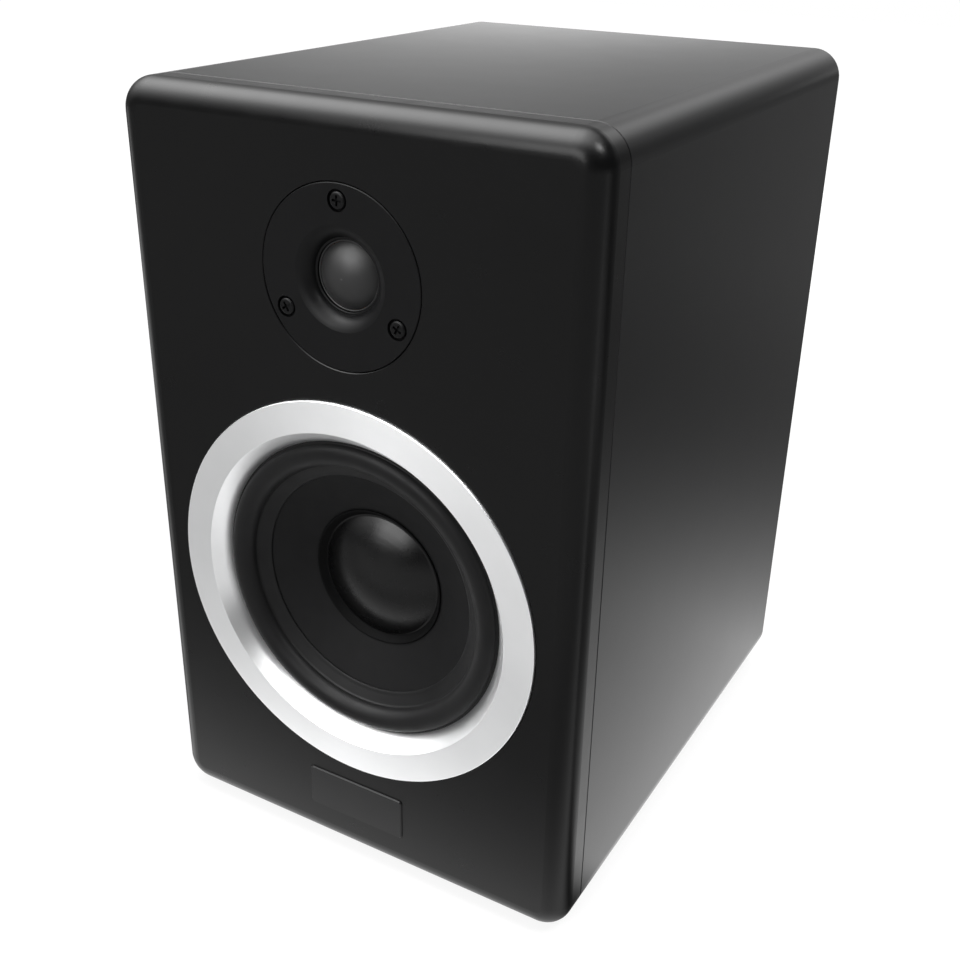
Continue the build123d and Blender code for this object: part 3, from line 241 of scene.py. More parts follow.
class LoudspeakerColours(PropertyGroup):
    """Colours of the finishes."""

    vinyl: colour("Vinyl", "Vinyl wrap of the cabinet", (0.006, 0.006, 0.0063))
    rear: colour("Rear", "Vinyl of the rear panel", (0.017, 0.017, 0.0175))
    lacquer: colour("Lacquer", "Lacquer of the baffle", (0.0014, 0.0014, 0.0015))
    plate: colour("Plate", "Bare plate under the woofer", (0.005, 0.005, 0.0052))
    aluminium: colour("Aluminium", "Satin trim ring", (0.95, 0.955, 0.96))
    rubber: colour("Rubber", "Surround and feet", (0.0045, 0.0045, 0.0047))
    cone: colour("Cone", "Coated paper cone", (0.0038, 0.0038, 0.004))
    cap: colour("Cap", "Dust cap", (0.0018, 0.0018, 0.0019))
    silk: colour("Silk", "Doped silk dome", (0.0055, 0.0055, 0.0057))
    plastic: colour("Plastic", "Moulded black plastic", (0.003, 0.003, 0.0032))
    rear_plastic: colour("Rear plastic", "Port and terminal cup", (0.009, 0.009, 0.0093))
    red_plastic: colour("Red plastic", "Red binding post", (0.42, 0.012, 0.012))
    gold: colour("Gold", "Gilded brass of the binding posts", (0.80, 0.57, 0.22))
    brass: colour("Brass", "Solder tags", (0.62, 0.46, 0.20))
    oxide: colour("Oxide", "Blackened screws", (0.003, 0.003, 0.0032))
    zinc: colour("Zinc", "Plated steel of the motors and board screws", (0.55, 0.55, 0.54))
    powder: colour("Powder", "Powder coat of the basket", (0.018, 0.018, 0.018))
    ferrite: colour("Ferrite", "Ring magnets", (0.035, 0.034, 0.033))
    copper: colour("Copper", "Enamelled windings", (0.56, 0.22, 0.09))
    former: colour("Former", "Coil formers", (0.42, 0.25, 0.10))
    cloth: colour("Cloth", "Spider cloth", (0.30, 0.20, 0.09))
    board: colour("Board", "Bare fibreboard", (0.33, 0.21, 0.11))
    circuit: colour("Circuit", "Crossover board", (0.10, 0.055, 0.02))
    foam: colour("Foam", "Lining and gaskets", (0.030, 0.030, 0.032))
    capacitor: colour("Capacitor", "Film capacitors", (0.50, 0.36, 0.05))
    ceramic: colour("Ceramic", "Resistor", (0.70, 0.69, 0.66))
    sleeve: colour("Sleeve", "Insulation of the leads", (0.26, 0.015, 0.015))


class LoudspeakerStage(PropertyGroup):
    """Camera, lamps and floor, and what reflections see."""

    camera_place: spot("Camera", "Place of the camera", (0.26811, -0.49253, 0.41385))
    camera_aim: spot("Aim", "Point that the camera looks at", (-0.01323, 0.0, 0.13867))
    camera_roll: degrees("Roll", "Turn of the camera about its view", 1.114)
    lens: number("Lens", "Focal length in millimetres", 46.565)
    floor_size: length("Floor", "Side of the floor", 8.0)
    key_power: watts("Key", "Power of the front softbox", 10.5)
    top_power: watts("Top", "Power of the overhead softbox", 8.0)
    corner_power: watts("Corner", "Power of the small softbox over the right corner", 7.0)
    rear_power: watts("Rear", "Power of the rear softbox", 17.0)
    room: number("Room", "Strength of the room's plain light", 0.25)
    wall: number("Wall", "Glow low behind on the left, in reflections", 0.9)
    dim_wall: number("Dim wall", "All walls, in reflections", 0.1)
    back_wall: number("Back wall", "Back wall, in reflections", 0.85)
    high_wall: number("High wall", "Patch high on the back wall, in reflections", 1.9)
    ceiling: number("Ceiling", "Ceiling, in reflections", 14.0)
    # Glow of the card that paints a lit reflection on the top
    card: number("Card", "Card behind the top, in reflections", 1.5)
    backdrop: number("Backdrop", "White of the floor to the camera, close round the base", 0.86)
    # Side pool to floor aside: strengths of painted pools of light on the floor, seen only in reflections
    pool_side: number("Side pool", "Floor beside the base, in reflections", 1.75)
    pool_base: number("Base pool", "Floor before the base, in reflections", 2.25)
    pool_front: number("Front pool", "Floor in front, in reflections", 0.72)
    pool_far: number("Far floor", "Floor far away, in reflections", 0.1)
    pool_behind: number("Floor behind", "Floor far behind, in reflections", 0.25)
    pool_aside: number("Floor aside", "Floor far to each side, in reflections", 0.9)
    side_reach: length("Side reach", "How far the light beside the base spreads", 0.11)
    base_reach: length("Base reach", "How far the light before the base spreads", 0.057)


class FinishTree:
    """Node tree of one finish, built round its shader."""

    def __init__(self, name, tint, roughness, specular=0.5, sockets=None):
        self.material = bpy.data.materials.new(name)
        self.material.use_nodes = True
        self.material.diffuse_color = (*tint, 1.0)
        self.tint = tuple(tint)
        self.roughness = roughness
        self.tree = self.material.node_tree
        self.shader = self.tree.nodes["Principled BSDF"]
        self.shader.inputs["Base Color"].default_value = (*tint, 1.0)
        self.shader.inputs["Roughness"].default_value = roughness
        self.shader.inputs["Specular IOR Level"].default_value = specular
        for socket, value in (sockets or {}).items():
            self.shader.inputs[socket].default_value = value
        self.normal = None

    def add(self, kind, inputs=None, **settings):
        """New node; an input is a value or the socket that feeds it."""
        node = self.tree.nodes.new(kind)
        for setting, value in settings.items():
            setattr(node, setting, value)
        for socket, value in (inputs or {}).items():
            if isinstance(value, bpy.types.NodeSocket):
                self.tree.links.new(value, node.inputs[socket])
            else:
                node.inputs[socket].default_value = value
        return node

    def place(self, centre=(0.0, 0.0, 0.0), stretch=(1.0, 1.0, 1.0)):
        """Place on the piece, measured from a centre and stretched along the axes."""
        here = self.add("ShaderNodeTexCoord").outputs["Object"]
        shift = [-c * s for c, s in zip(centre, stretch)]
        inputs = {"Vector": here, "Location": shift, "Scale": stretch}
        return self.add("ShaderNodeMapping", inputs).outputs[0]

    def grain(self, size, detail=3.0, place=None):
        """Cloudy grain with patches of a size."""
        where = place or self.place()
        inputs = {"Vector": where, "Scale": 1.0 / size, "Detail": detail, "Roughness": 0.55}
        return self.add("ShaderNodeTexNoise", inputs).outputs[0]

    def pebbles(self, size):
        """Rounded cells of a size, as on leather cloth and spark-eroded mouldings."""
        inputs = {"Vector": self.place(), "Scale": 1.0 / size}
        return self.add("ShaderNodeTexVoronoi", inputs, feature="SMOOTH_F1").outputs[0]

    def rings(self, centre, spacing):
        """Fine rings round a driver's axis."""
        flat = self.place(centre, (1.0, 0.0, 1.0))
        radius = self.add("ShaderNodeVectorMath", {0: flat}, operation="LENGTH").outputs["Value"]
        inputs = {"W": radius, "Scale": 1.0 / spacing, "Detail": 2.0}
        return self.add("ShaderNodeTexNoise", inputs, noise_dimensions="1D").outputs[0]

    def threads(self, pitch, centre):
        """Woven threads, crossing up and across."""
        where = self.place(centre)
        rate = 2 * math.pi / (20 * pitch)
        across = self.add("ShaderNodeTexWave", {"Vector": where, "Scale": rate}, bands_direction="X")
        upright = self.add("ShaderNodeTexWave", {"Vector": where, "Scale": rate}, bands_direction="Z")
        inputs = {0: across.outputs[1], 1: upright.outputs[1]}
        return self.add("ShaderNodeMath", inputs, operation="MAXIMUM").outputs[0]

    def shade(self, factor, darker, lighter):
        """Colour that drifts about the finish's own tint."""
        ramp = self.add("ShaderNodeValToRGB", {"Fac": factor})
        low, high = ramp.color_ramp.elements
        low.position = GRAIN_LOW
        high.position = GRAIN_HIGH
        low.color = (*[c * darker for c in self.tint], 1.0)
        high.color = (*[min(1.0, c * lighter) for c in self.tint], 1.0)
        self.tree.links.new(ramp.outputs["Color"], self.shader.inputs["Base Color"])

    def gloss(self, factor, below, above):
        """Roughness that drifts about the finish's own."""
        smooth = self.roughness - below
        rough = min(1.0, self.roughness + above)
        inputs = {"Value": factor, 1: GRAIN_LOW, 2: GRAIN_HIGH, 3: smooth, 4: rough}
        spread = self.add("ShaderNodeMapRange", inputs)
        self.tree.links.new(spread.outputs["Result"], self.shader.inputs["Roughness"])

    def relief(self, height, depth, strength=1.0):
        """Raised pattern of a depth in metres, on top of the earlier ones."""
        inputs = {"Height": height, "Distance": depth, "Strength": strength}
        if self.normal:
            inputs["Normal"] = self.normal
        self.normal = self.add("ShaderNodeBump", inputs).outputs["Normal"]
        self.tree.links.new(self.normal, self.shader.inputs["Normal"])


class StageTree:
    """Node tree of the floor, the card or the room."""

    def __init__(self, owner, output):
        self.owner = owner
        owner.use_nodes = True
        self.tree = owner.node_tree
        self.tree.nodes.clear()
        self.output = self.tree.nodes.new(output)

    add = FinishTree.add

    def sum(self, operation, first, second=0.0):
        """One step of arithmetic."""
        return self.add("ShaderNodeMath", {0: first, 1: second}, operation=operation).outputs[0]

    def total(self, first, *others):
        """Values added together."""
        for other in others:
            first = self.sum("ADD", first, other)
        return first

    def product(self, first, *others):
        """Values multiplied together."""
        for other in others:
            first = self.sum("MULTIPLY", first, other)
        return first

    def along(self, place, direction):
        """How far a place lies along a direction."""
        inputs = {0: place, 1: direction}
        return self.add("ShaderNodeVectorMath", inputs, operation="DOT_PRODUCT").outputs["Value"]

    def spread(self, value, source, target=(0.0, 1.0)):
        """Value carried smoothly from one range to another."""
        inputs = {"Value": value, 1: source[0], 2: source[1], 3: target[0], 4: target[1]}
        return self.add("ShaderNodeMapRange", inputs, interpolation_type="SMOOTHSTEP").outputs[0]

    def fade(self, distance, strength, reach):
        """Strength that dies away with distance, and is full short of it."""
        away = self.sum("DIVIDE", self.sum("MAXIMUM", distance, 0.0), reach)
        return self.product(self.sum("POWER", math.exp(-1.0), away), strength)

    def shine(self, kind, strength):
        """White light of a strength."""
        return self.add(kind, {"Color": WHITE, "Strength": strength}).outputs[0]

    def blend(self, share, first, second):
        """Mix of two shaders."""
        node = self.add("ShaderNodeMixShader", {0: share, 1: first})
        if second:
            self.tree.links.new(second, node.inputs[2])
        return node.outputs[0]

    def finish(self, shader):
        """Shader that shows."""
        self.tree.links.new(shader, self.output.inputs["Surface"])


def vinyl_wrap(name, tint, roughness=0.29, specular=0.17):
    """Fine-grained vinyl: tiny pebbles, pulled smooth over the board."""
    finish = FinishTree(name, tint, roughness, specular)
    finish.shade(finish.grain(0.006, 5.0), 0.9, 1.1)
    finish.gloss(finish.grain(0.02, 3.0), 0.004, 0.004)
    finish.relief(finish.pebbles(0.0006), 0.00002, 0.012)
    return finish.material


def satin_lacquer(name, tint, roughness=0.29, specular=0.165):
    """Sprayed satin lacquer with a faint orange-peel skin."""
    finish = FinishTree(name, tint, roughness, specular)
    finish.shade(finish.grain(0.05), 0.9, 1.12)
    finish.gloss(finish.grain(0.015, 5.0), 0.02, 0.03)
    finish.relief(finish.grain(0.0009, 2.0), 0.00003, 0.5)
    return finish.material


def satin_aluminium(name, tint, centre):
    """Turned and anodised aluminium with fine rings from the lathe."""
    sockets = {"Metallic": 1.0, "Anisotropic": 0.45, "Anisotropic Rotation": 0.25}
    finish = FinishTree(name, tint, 0.4, sockets=sockets)
    finish.shade(finish.grain(0.03), 0.97, 1.02)
    lathe = finish.rings(centre, 0.00025)
    finish.gloss(lathe, 0.02, 0.02)
    finish.relief(lathe, 0.000004, 0.3)
    around = finish.add("ShaderNodeTangent", direction_type="RADIAL", axis="Y")
    finish.tree.links.new(around.outputs["Tangent"], finish.shader.inputs["Tangent"])
    return finish.material


def matt_rubber(name, tint, roughness=0.48, specular=0.14):
    """Moulded rubber: matt, with a soft bloom in patches."""
    finish = FinishTree(name, tint, roughness, specular, {"Sheen Weight": 0.03})
    finish.shade(finish.grain(0.012, 4.0), 0.85, 1.2)
    finish.gloss(finish.grain(0.008, 4.0), 0.06, 0.07)
    finish.relief(finish.grain(0.0005, 2.0), 0.00003, 0.5)
    return finish.material


def coated_paper(name, tint, roughness, centre, specular=0.12):
    """Pressed paper under a thin coat: felted fibres and faint rings from the press."""
    finish = FinishTree(name, tint, roughness, specular)
    finish.shade(finish.grain(0.006, 6.0), 0.85, 1.18)
    finish.gloss(finish.grain(0.01, 5.0), 0.03, 0.04)
    finish.relief(finish.grain(0.0011, 5.0), 0.00005, 0.5)
    finish.relief(finish.rings(centre, 0.0016), 0.00004, 0.35)
    return finish.material


def doped_silk(name, tint, centre):
    """Woven silk stiffened by a soft coat."""
    finish = FinishTree(name, tint, 0.47, 0.45, {"Sheen Weight": 0.04})
    weave = finish.threads(0.00028, centre)
    finish.shade(weave, 0.85, 1.15)
    finish.gloss(finish.grain(0.004), 0.04, 0.05)
    finish.relief(weave, 0.00002, 0.4)
    return finish.material


def moulded_plastic(name, tint, roughness=0.42, specular=0.4):
    """Moulded plastic with a spark-eroded skin."""
    finish = FinishTree(name, tint, roughness, specular)
    finish.shade(finish.grain(0.02), 0.9, 1.12)
    finish.gloss(finish.grain(0.006, 4.0), 0.04, 0.05)
    finish.relief(finish.pebbles(0.0004), 0.00002, 0.5)
    return finish.material


def clear_coloured_plastic(name, tint):
    """Glossy see-deep plastic of a post's cap."""
    finish = FinishTree(name, tint, 0.28, 0.5, {"Coat Weight": 0.5, "Coat Roughness": 0.08})
    finish.shade(finish.grain(0.004), 0.8, 1.15)
    finish.gloss(finish.grain(0.002, 4.0), 0.04, 0.06)
    finish.relief(finish.grain(0.0006), 0.00002, 0.4)
    return finish.material


def bare_metal(name, tint, roughness, scratch=0.0006):
    """Plated or turned metal with short rubbed marks."""
    finish = FinishTree(name, tint, roughness, sockets={"Metallic": 1.0})
    marks = finish.grain(scratch, 4.0, finish.place(stretch=(1.0, 0.12, 1.0)))
    finish.shade(finish.grain(0.006, 4.0), 0.88, 1.06)
    finish.gloss(marks, 0.06, 0.08)
    finish.relief(marks, 0.00001, 0.4)
    return finish.material


def blackened_steel(name, tint):
    """Blackened steel screws: dark and oily, with a tone that drifts in small patches."""
    finish = FinishTree(name, tint, 0.34, 0.12)
    finish.shade(finish.grain(0.0015, 4.0), 0.7, 1.5)
    finish.gloss(finish.grain(0.0008, 4.0), 0.04, 0.06)
    finish.relief(finish.grain(0.0004, 3.0), 0.00002, 0.4)
    return finish.material


def rough_body(name, tint, roughness, size, depth):
    """Dull body with a coarse grain: ferrite, fired clay, fibreboard or foam."""
    finish = FinishTree(name, tint, roughness, 0.25)
    coarse = finish.grain(size, 6.0)
    finish.shade(coarse, 0.72, 1.28)
    finish.gloss(finish.grain(size * 3), 0.06, 0.06)
    finish.relief(coarse, depth, 0.7)
    return finish.material


def wound_wire(name, tint, pitch=0.0009):
    """Enamelled wire wound in close turns."""
    sockets = {"Metallic": 1.0, "Coat Weight": 0.4, "Coat Roughness": 0.2}
    finish = FinishTree(name, tint, 0.3, sockets=sockets)
    inputs = {"Vector": finish.place(), "Scale": WAVE_SCALE / pitch}
    turns = finish.add("ShaderNodeTexWave", inputs, bands_direction="Z")
    finish.shade(finish.grain(0.003), 0.8, 1.15)
    finish.gloss(finish.grain(0.002), 0.05, 0.08)
    finish.relief(turns.outputs[1], 0.0002, 0.6)
    return finish.material


def dress(finish, *names):
    """Gives CAD pieces a finish."""
    for name in names:
        piece = NODES[name]
        piece.data.materials.clear()
        piece.data.materials.append(finish)


def rounded(points, radii, steps=6):
    """Closed profile with its corners rounded to the given radii."""
    outline = []
    for i, (corner, radius) in enumerate(zip(points, radii)):
        here = Vector(corner)
        back = (Vector(points[i - 1]) - here).normalized()
        ahead = (Vector(points[(i + 1) % len(points)]) - here).normalized()
        half = back.angle(ahead) / 2
        if radius <= 0.0:
            outline.append(tuple(here))
            continue
        reach = radius / math.tan(half)
        centre = here + (back + ahead).normalized() * (radius / math.sin(half))
        first = here + back * reach - centre
        sweep = first.angle_signed(here + ahead * reach - centre)
        for k in range(steps + 1):
            turn = Matrix.Rotation(-sweep * k / steps, 2)
            outline.append(tuple(centre + turn @ first))
    return outline


def show(name, data):
    """New object in the scene."""
    thing = bpy.data.objects.new(name, data)
    bpy.context.scene.collection.objects.link(thing)
    return thing


def show_shape(name, shape):
    """New object of a shape that is done."""
    mesh = bpy.data.meshes.new(name)
    shape.to_mesh(mesh)
    shape.free()
    return show(name, mesh)


def turned(name, profile, height, steps):
    """Closed ring or bowl: a profile of radii and depths turned about a driver's axis."""
    shape = bmesh.new()
    points = [shape.verts.new((radius, FRONT + depth, height)) for radius, depth in profile]
    edges = [shape.edges.new(pair) for pair in zip(points, points[1:])]
    if profile[0][0] > TOUCH:
        edges.append(shape.edges.new((points[-1], points[0])))
    bmesh.ops.spin(
        shape,
        geom=points + edges,
        cent=(0.0, FRONT, height),
        axis=(0.0, 1.0, 0.0),
        angle=2 * math.pi,
        steps=steps,
        use_merge=True,
    )
    bmesh.ops.remove_doubles(shape, verts=shape.verts, dist=TOUCH)
    bmesh.ops.recalc_face_normals(shape, faces=shape.faces)
    for face in shape.faces:
        face.smooth = True
    return show_shape(name, shape)


def even_shading(piece):
    """Keeps flat faces flat beside their rounded edges."""
    weights = piece.modifiers.new("even_shading", "WEIGHTED_NORMAL")
    weights.mode = "FACE_AREA"
    weights.keep_sharp = True


def hang_between(piece, moving, height, fixed_radius, moving_radius):
    """Suspension that stays with the cabinet outside and goes with the diaphragm inside."""
    start = (fixed_radius, FRONT, height)
    end = (moving_radius, FRONT, height)
    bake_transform(piece, "cabinet", moving, start, end)
    weights = piece.data.attributes["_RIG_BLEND"].data
    for point, weight in zip(piece.data.vertices, weights):
        radius = math.hypot(point.co.x, point.co.z - height)
        share = (fixed_radius - radius) / (fixed_radius - moving_radius)
        share = min(1.0, max(0.0, share))
        weight.value = share * share * (3 - 2 * share)


def cone_front(sizes, radius):
    """Depth of the cone's front at a radius, without the step under the dust cap."""
    return sizes.cone_depth + (sizes.cone_edge - radius) * math.tan(sizes.cone_slope)


def cap_seat(sizes):
    """Inner and outer radius of the step under the dust cap."""
    inner = sizes.cap_radius + SEAT_GAP
    return inner, inner + SEAT_WIDTH


class LOUDSPEAKER_OT_cabinet(Operator):
    """Finish the cabinet, its baffle, rear panel, brace, lining and feet"""

    bl_idname = "loudspeaker.cabinet"
    bl_label = "Cabinet"

    def execute(self, context):
        tints = context.scene.loudspeaker_colours
        dress(vinyl_wrap("cabinet_vinyl", tints.vinyl), "cabinet_sleeve")
        dress(vinyl_wrap("rear_vinyl", tints.rear, 0.5, 0.3), "rear_panel")
        dress(satin_lacquer("baffle_lacquer", tints.lacquer), "front_baffle")
        dress(satin_lacquer("plate_lacquer", tints.plate, 0.4, 0.2), "front_plate")
        dress(matt_rubber("foot_rubber", tints.rubber), "rubber_feet")
        dress(rough_body("bare_fibreboard", tints.board, 0.85, 0.0015, 0.0001), "window_brace")
        dress(rough_body("lining_foam", tints.foam, 0.95, 0.0012, 0.0004), "foam_lining")
        seals = ("woofer_gasket", "tweeter_gasket", "terminal_gasket")
        dress(rough_body("seal_foam", tints.foam, 0.9, 0.0006, 0.0001), *seals)
        return {"FINISHED"}


class LOUDSPEAKER_OT_trim_ring(Operator):
    """Turn the satin ring round the woofer"""

    bl_idname = "loudspeaker.trim_ring"
    bl_label = "Trim ring"

    def execute(self, context):
        sizes = context.scene.loudspeaker_sizes
        tints = context.scene.loudspeaker_colours
        outer = (RING_HIGH.x - RING_LOW.x) / 2
        face = RING_LOW.y - FRONT
        back = RING_HIGH.y - FRONT
        skin = 0.0015
        wall = outer - skin
        under = face + skin
        slant = sizes.ring_face_inner + 0.0006
        lip = sizes.ring_bore + 0.0019
        points = [
            (outer, face),
            (outer, back),
            (wall, back),
            (wall, under),
            (slant, under),
            (lip, sizes.flange_depth),
            (sizes.ring_bore, sizes.flange_depth),
            (sizes.ring_face_inner, face),
        ]
        foot = 0.0002
        hollow = 0.0004
        inner_edge = sizes.ring_edge * 0.7
        radii = [sizes.ring_edge, foot, foot, hollow, hollow, 0.0, 0.0, inner_edge]
        ring = turned("turned_trim_ring", rounded(points, radii), WOOFER_HEIGHT, sizes.steps)
        even_shading(ring)
        ring.data.materials.append(satin_aluminium("trim_aluminium", tints.aluminium, WOOFER_CENTRE))
        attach(ring, "cabinet")
        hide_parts("trim_ring")
        return {"FINISHED"}


def roll_surround(sizes, tints):
    """Half roll from the flange to a tapered lip on the cone, with a bead near the lip's edge."""
    inner_foot = cone_front(sizes, sizes.roll_inner) - GLUE - sizes.rubber
    middle = (sizes.roll_outer + sizes.roll_inner) / 2
    half = (sizes.roll_outer - sizes.roll_inner) / 2
    lip_width = sizes.roll_inner - sizes.lip_inner
    flange_end = sizes.roll_outer + 0.0006
    fullness = 0.9
    lip_gap = 0.0004
    lip_tuck = 0.001
    taper = 0.72
    bead_height = 0.00012
    bead_place = 0.86
    bead_width = 0.1

    def foot(share):
        return sizes.flange_depth * (1 - share) + inner_foot * share

    front = [(sizes.flange_outer, sizes.flange_depth), (flange_end, sizes.flange_depth)]
    for k in range(ROLL_STEPS + 1):
        share = k / ROLL_STEPS
        angle = math.pi * share
        rise = sizes.roll_height * math.sin(angle) ** fullness
        front.append((middle + half * math.cos(angle), foot(share) - rise))
    for k in range(1, LIP_STEPS + 1):
        share = k / LIP_STEPS
        radius = sizes.roll_inner - lip_gap - (lip_width - lip_gap) * share
        bead = bead_height * math.exp(-(((share - bead_place) / bead_width) ** 2))
        lip = sizes.rubber * (1 - taper * share) + bead
        front.append((radius, cone_front(sizes, radius) - GLUE - lip))
    back = []
    for k in range(1, LIP_STEPS + 1):
        share = 1 - k / LIP_STEPS
        radius = sizes.roll_inner + lip_tuck - (lip_width + lip_tuck) * share
        back.append((radius, cone_front(sizes, radius) - GLUE))
    for k in range(1, ROLL_STEPS + 1):
        share = 1 - k / ROLL_STEPS
        angle = math.pi * share
        radius = middle + (half - sizes.rubber) * math.cos(angle)
        back.append((radius, foot(share) + sizes.rubber - sizes.roll_height * math.sin(angle)))
    back.append((sizes.flange_outer, sizes.flange_depth + sizes.rubber))
    surround = turned("rolled_surround", front + back, WOOFER_HEIGHT, sizes.steps)
    surround.data.materials.append(matt_rubber("surround_rubber", tints.rubber))
    hang_between(surround, "woofer_diaphragm", WOOFER_HEIGHT, sizes.roll_outer, sizes.roll_inner)
    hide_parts("woofer_surround")


def press_cone(sizes, tints):
    """Cone with a sunken seat for the dust cap and a collar at the coil former."""
    seat_inner, seat_outer = cap_seat(sizes)
    seat = cone_front(sizes, seat_inner) + sizes.seat_drop
    neck = cone_front(sizes, sizes.neck_radius) + sizes.seat_drop
    collar_outer = sizes.neck_radius + sizes.cone_paper
    front = [(sizes.cone_edge, sizes.cone_depth)]
    for k in range(1, CONE_STEPS + 1):
        radius = sizes.cone_edge + (seat_outer - sizes.cone_edge) * k / CONE_STEPS
        front.append((radius, cone_front(sizes, radius)))
    front.append((seat_inner, seat))
    front.append((sizes.neck_radius, neck))
    back = [
        (sizes.neck_radius, neck + COLLAR),
        (collar_outer, neck + COLLAR),
        (collar_outer, neck + sizes.cone_paper * (1 - math.tan(sizes.cone_slope))),
        (seat_inner, seat + sizes.cone_paper),
        (seat_outer, cone_front(sizes, seat_outer) + sizes.cone_paper),
        (sizes.cone_edge, sizes.cone_depth + sizes.cone_paper),
    ]
    cone = turned("pressed_cone", front + back, WOOFER_HEIGHT, sizes.steps)
    even_shading(cone)
    cone.data.materials.append(coated_paper("cone_paper", tints.cone, 0.6, WOOFER_CENTRE))
    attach(cone, "woofer_diaphragm")
    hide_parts("woofer_cone")


def press_cap(sizes, tints):
    """Dust cap: a dome, a groove round it and a rim on the cone."""

    def on_cone(radius, drop=0.0):
        return cone_front(sizes, radius) + drop - GLUE

    paper = sizes.cap_paper
    seat_inner, seat_outer = cap_seat(sizes)
    seat = on_cone(seat_inner, sizes.seat_drop)
    ball = (sizes.cap_radius**2 + sizes.cap_height**2) / (2 * sizes.cap_height)
    foot = on_cone(sizes.cap_radius, sizes.seat_drop) - paper
    crown = foot - sizes.cap_height
    arc = math.asin(sizes.cap_radius / ball)
    front = []
    for k in range(CAP_STEPS + 1):
        angle = arc * k / CAP_STEPS
        front.append((ball * math.sin(angle), crown + ball * (1 - math.cos(angle))))
    groove_start = seat_inner - 0.0002
    groove_end = seat_outer - 0.0003
    groove_depth = 0.00025
    rim_start = seat_outer + 0.0001
    rim = seat_outer + 0.0008
    rim_ease = 0.0003
    rim_share = 0.6
    front += [
        (groove_start, seat - paper),
        (groove_end, on_cone(seat_outer) - paper + groove_depth),
        (rim_start, on_cone(seat_outer) - paper),
        (rim - rim_ease, on_cone(rim) - paper),
        (rim, on_cone(rim) - paper * rim_share),
    ]
    inner_radius = sizes.cap_radius - paper
    inner_ball = ball - paper
    inner_arc = math.asin(inner_radius / inner_ball)
    back = [
        (rim, on_cone(rim)),
        (seat_outer, on_cone(seat_outer)),
        (seat_inner, seat),
        (inner_radius, foot + paper),
    ]
    for k in range(1, CAP_STEPS + 1):
        angle = inner_arc * (1 - k / CAP_STEPS)
        back.append((inner_ball * math.sin(angle), crown + ball - inner_ball * math.cos(angle)))
    cap = turned("pressed_dust_cap", front + back, WOOFER_HEIGHT, sizes.steps)
    cap.data.materials.append(coated_paper("cap_paper", tints.cap, 0.28, WOOFER_CENTRE, 0.26))
    cap.data.materials.append(coated_paper("cap_rim_paper", tints.cap, 0.65, WOOFER_CENTRE, 0.06))
    for face in cap.data.polygons:
        radius = math.hypot(face.center.x, face.center.z - WOOFER_HEIGHT)
        face.material_index = int(radius > sizes.cap_radius)
    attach(cap, "woofer_diaphragm")
    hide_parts("woofer_dust_cap")


def wave_spider(sizes, tints):
    """Waved spider between the coil former and the basket's shelf."""
    outer = (SPIDER_HIGH.x - SPIDER_LOW.x) / 2
    back_depth = SPIDER_HIGH.y - FRONT - COLLAR
    depth = back_depth - sizes.spider_cloth
    collar_outer = sizes.neck_radius + sizes.spider_cloth
    wave_start = collar_outer + 0.003
    wave_end = 0.041
    shelf = wave_end + 0.0005
    collar_turn = sizes.neck_radius + 0.0008
    waves = 4

    def wave(share, level):
        radius = wave_end + (wave_start - wave_end) * share
        return radius, level + sizes.spider_wave * math.sin(2 * waves * math.pi * share)

    front = [(outer, depth), (shelf, depth)]
    front += [wave(k / WAVE_STEPS, depth) for k in range(WAVE_STEPS + 1)]
    front += [(collar_turn, depth), (sizes.neck_radius, depth)]
    back = [
        (sizes.neck_radius, back_depth + COLLAR),
        (collar_outer, back_depth + COLLAR),
        (collar_outer, back_depth),
    ]
    back += [wave(1 - k / WAVE_STEPS, back_depth) for k in range(WAVE_STEPS + 1)]
    back.append((outer, back_depth))
    spider = turned("waved_spider", front + back, WOOFER_HEIGHT, SOFT_STEPS)
    spider.data.materials.append(doped_silk("spider_cloth", tints.cloth, WOOFER_CENTRE))
    hang_between(spider, "woofer_diaphragm", WOOFER_HEIGHT, wave_end, wave_start)
    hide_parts("woofer_spider")


def hang_leads(tints):
    """Tinsel leads from the cone to the tags."""
    low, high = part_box("woofer_tinsel_leads")
    leads = show("tinsel_leads", NODES["woofer_tinsel_leads"].data.copy())
    leads.data.materials.clear()
    leads.data.materials.append(bare_metal("tinsel_copper", tints.copper, 0.35))
    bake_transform(leads, "woofer_diaphragm", "cabinet", (0.0, low.y, high.z), (0.0, high.y, low.z))
    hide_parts("woofer_tinsel_leads")


class LOUDSPEAKER_OT_woofer_diaphragm(Operator):
    """Model the woofer's surround, cone, dust cap, spider and tinsel leads"""

    bl_idname = "loudspeaker.woofer_diaphragm"
    bl_label = "Woofer diaphragm"

    def execute(self, context):
        sizes = context.scene.loudspeaker_sizes
        tints = context.scene.loudspeaker_colours
        roll_surround(sizes, tints)
        press_cone(sizes, tints)
        press_cap(sizes, tints)
        wave_spider(sizes, tints)
        hang_leads(tints)
        return {"FINISHED"}


def dress_motor(driver, tints, zinc):
    """Finishes that the motors of both drivers share."""
    dress(blackened_steel(driver + "_screw_oxide", tints.oxide), driver + "_screws")
    dress(wound_wire(driver + "_coil_copper", tints.copper), driver + "_voice_coil")
    dress(bare_metal(zinc, tints.zinc, 0.34), driver + "_top_plate", driver + "_yoke")
    dress(rough_body(driver + "_ferrite", tints.ferrite, 0.62, 0.002, 0.00008), driver + "_magnet")
    dress(bare_metal(driver + "_tag_brass", tints.brass, 0.3), driver + "_tags")


